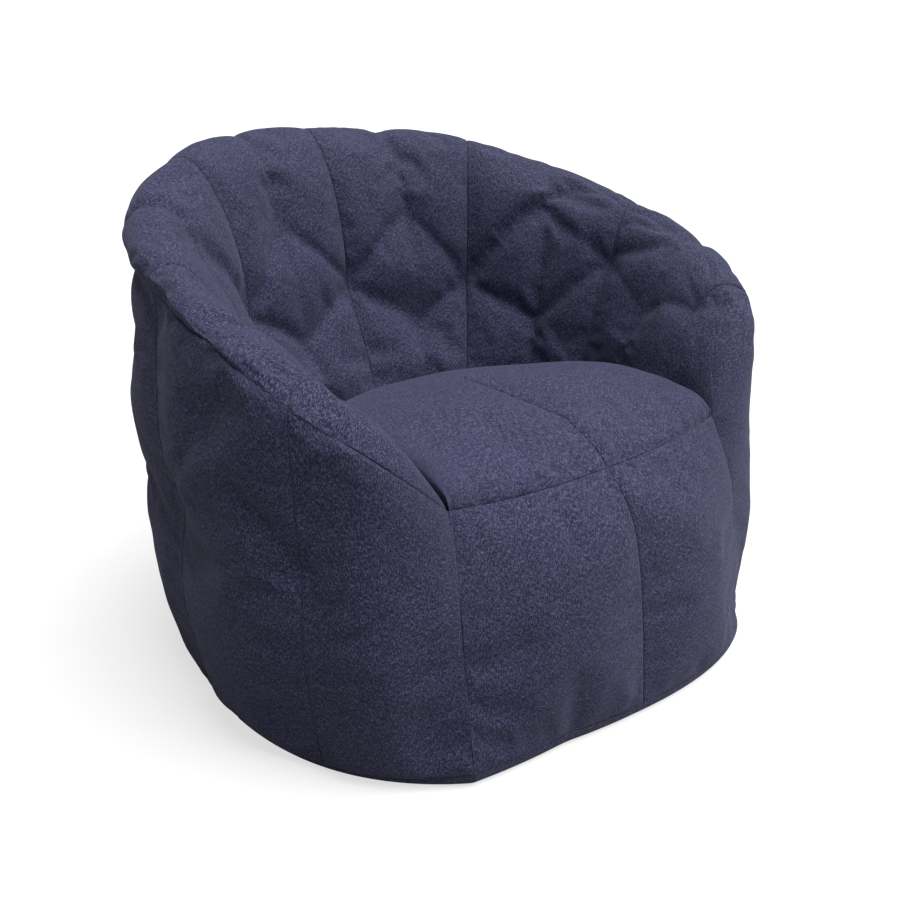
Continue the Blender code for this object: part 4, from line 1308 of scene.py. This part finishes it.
def slider_mesh(name, low, high):
    """Two shield-shaped plates joined by a wedge between the coils, with a bridge on two posts on top."""
    middle = (low + high) / 2
    length, width = high[0] - low[0], high[1] - low[1]
    turns = np.linspace(0, 1, 15)
    half_width = width / 2 * (0.60 + 0.40 * np.sin(math.pi * np.clip(turns * 1.12, 0, 1)) ** 0.8)
    half_width[0] *= 0.55
    half_width[-1] *= 0.82
    side = [(low[0] + length * t, w) for t, w in zip(turns, half_width)]
    loop = np.array(side + [(x, -w) for x, w in side[::-1]])
    plate = 0.0010
    shape = bmesh.new()
    for bottom in (low[2], high[2] - plate):
        rims = [[shape.verts.new((x, middle[1] + y, z)) for x, y in loop] for z in (bottom, bottom + plate)]
        count = len(loop)
        for i in range(count):
            shape.faces.new((rims[0][i], rims[0][(i + 1) % count], rims[1][(i + 1) % count], rims[1][i]))
        shape.faces.new(rims[0][::-1])
        shape.faces.new(rims[1])
    bmesh.ops.recalc_face_normals(shape, faces=shape.faces)
    rims = [edge for edge in shape.edges if edge.is_manifold and edge.calc_face_angle() > 1.0]
    bmesh.ops.bevel(shape, geom=rims, offset=0.00028, segments=2, profile=0.5, affect="EDGES")
    mesh = bpy.data.meshes.new(name)
    shape.to_mesh(mesh)
    shape.free()
    # The wedge, the two posts of the bridge, and the bridge: the shares of the length that each
    # spans, half its width, its bottom and top, and the radius of its edges.
    low_z, high_z = low[2], high[2]
    extras = [
        (0.18, 0.55, 0.00042, low_z + 0.0004, high_z - 0.0004, 0.0003),
        (0.30, 0.40, 0.0010, high_z - 0.0003, high_z + 0.0009, 0.0003),
        (0.68, 0.78, 0.0010, high_z - 0.0003, high_z + 0.0009, 0.0003),
        (0.30, 0.78, 0.0010, high_z + 0.0006, high_z + 0.0012, 0.0002),
    ]
    for start, end, half, bottom, top, radius in extras:
        extra = rounded_box(
            name, (low[0] + length * start, middle[1] - half, bottom),
            (low[0] + length * end, middle[1] + half, top), radius)
        joined = bmesh.new()
        joined.from_mesh(mesh)
        joined.from_mesh(extra)
        joined.to_mesh(mesh)
        joined.free()
    mesh.shade_smooth()
    return mesh


zip_stitches = []
for zip_name, zip_y in ZIP_Y.items():
    for end_name, side in (("front", -1), ("rear", 1)):
        tape = f"{zip_name}_tape_{end_name}"
        low, high = part_box(tape)
        finished(f"{tape}_woven", tape_mesh(tape, low, high, side), tape_material, tape)
        stitch_y = zip_y + side * (ZIP_GAP / 2 + STITCH_INSET)
        zip_stitches.append(((low[0], stitch_y, 0.0004), (high[0], stitch_y, 0.0004)))
        coil = f"{zip_name}_coil_{end_name}"
        low, high = part_box(coil)
        start = bpy.data.meshes.new(coil)
        start.from_pydata([(0, 0, 0)], [], [])
        values = {
            "Turns": int((high[0] - low[0]) / COIL_PITCH), "Width": float(high[1] - low[1]),
            "Height": float(high[2] - low[2]), "Material": coil_material,
        }
        coil_piece = grow(new_object(coil, start), COIL_TURNS, values, f"{coil}_nylon")
        first_turn = ((low + high) / 2) * (0, 1, 1) + low * (1, 0, 0) + (COIL_PITCH / 2, 0, 0)
        for vertex in coil_piece.data.vertices:
            vertex.co = np.array(vertex.co) + first_turn
        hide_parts(coil)
    for end_name in ("start", "end"):
        stop = f"{zip_name}_stop_{end_name}"
        low, high = part_box(stop)
        crimp = rounded_box(stop, low, high, 0.0005, 3)
        finished(f"{stop}_crimp", crimp, metal_material, stop)
    slider = f"{zip_name}_slider"
    low, high = part_box(slider)
    cast = slider_mesh(slider, low, high)
    finished(f"{slider}_cast", cast, metal_material, slider, body=slider)
stitch_lines("zip_stitches", zip_stitches)


# ---------------------------------------------------------------------------------------------
# Studio.  A pale floor, a white room that lights the chair faintly, and one very wide soft
# light overhead, a little to the sitter's left.

FLOOR_SIZE = 30.0
FLOOR_TONE = 0.26
FLOOR_GLOW = 0.66  # only to look at: it lights nothing
ROOM_LIGHT = 0.27
OVERHEAD_LIGHT = 6.4

floor_mesh = bpy.data.meshes.new("studio_floor")
half = FLOOR_SIZE / 2
floor_corners = [(-half, -half, 0), (half, -half, 0), (half, half, 0), (-half, half, 0)]
floor_mesh.from_pydata(floor_corners, [], [(0, 1, 2, 3)])
floor_material, floor_tree, floor_shader = new_material("studio_floor", roughness=0.9)
floor_shader.inputs["Base Color"].default_value = (FLOOR_TONE, FLOOR_TONE, FLOOR_TONE, 1)
floor_shader.inputs["Emission Color"].default_value = (1.0, 1.0, 1.0, 1)
floor_ray = node(floor_tree, "ShaderNodeLightPath").outputs["Is Camera Ray"]
floor_glow = calc(floor_tree, "MULTIPLY", floor_ray, FLOOR_GLOW)
floor_tree.links.new(floor_glow, floor_shader.inputs["Emission Strength"])
floor_mesh.materials.append(floor_material)
new_object("studio_floor", floor_mesh)

# The room is white to look at, and lights the chair only a little.
world = bpy.data.worlds.new("studio")
scene.world = world
world.use_nodes = True
room = world.node_tree
backdrop = room.nodes["Background"]
backdrop.inputs[0].default_value = (1.0, 1.0, 1.0, 1)
backdrop.inputs[1].default_value = 1.1
dim_room = node(room, "ShaderNodeBackground", {0: (1.0, 1.0, 1.0, 1), 1: ROOM_LIGHT})
seen = node(room, "ShaderNodeLightPath")
two_rooms = {0: seen.outputs["Is Camera Ray"], 1: dim_room.outputs[0], 2: backdrop.outputs[0]}
lit = node(room, "ShaderNodeMixShader", two_rooms)
room.links.new(lit.outputs[0], room.nodes["World Output"].inputs[0])

overhead = bpy.data.lights.new("overhead_sky_panel", "SUN")
overhead.energy = OVERHEAD_LIGHT
overhead.angle = math.radians(55)
overhead_lamp = new_object("overhead_sky_panel", overhead)
overhead_lamp.rotation_euler = (math.radians(18), math.radians(15), 0)
scene.view_settings.view_transform = "Standard"
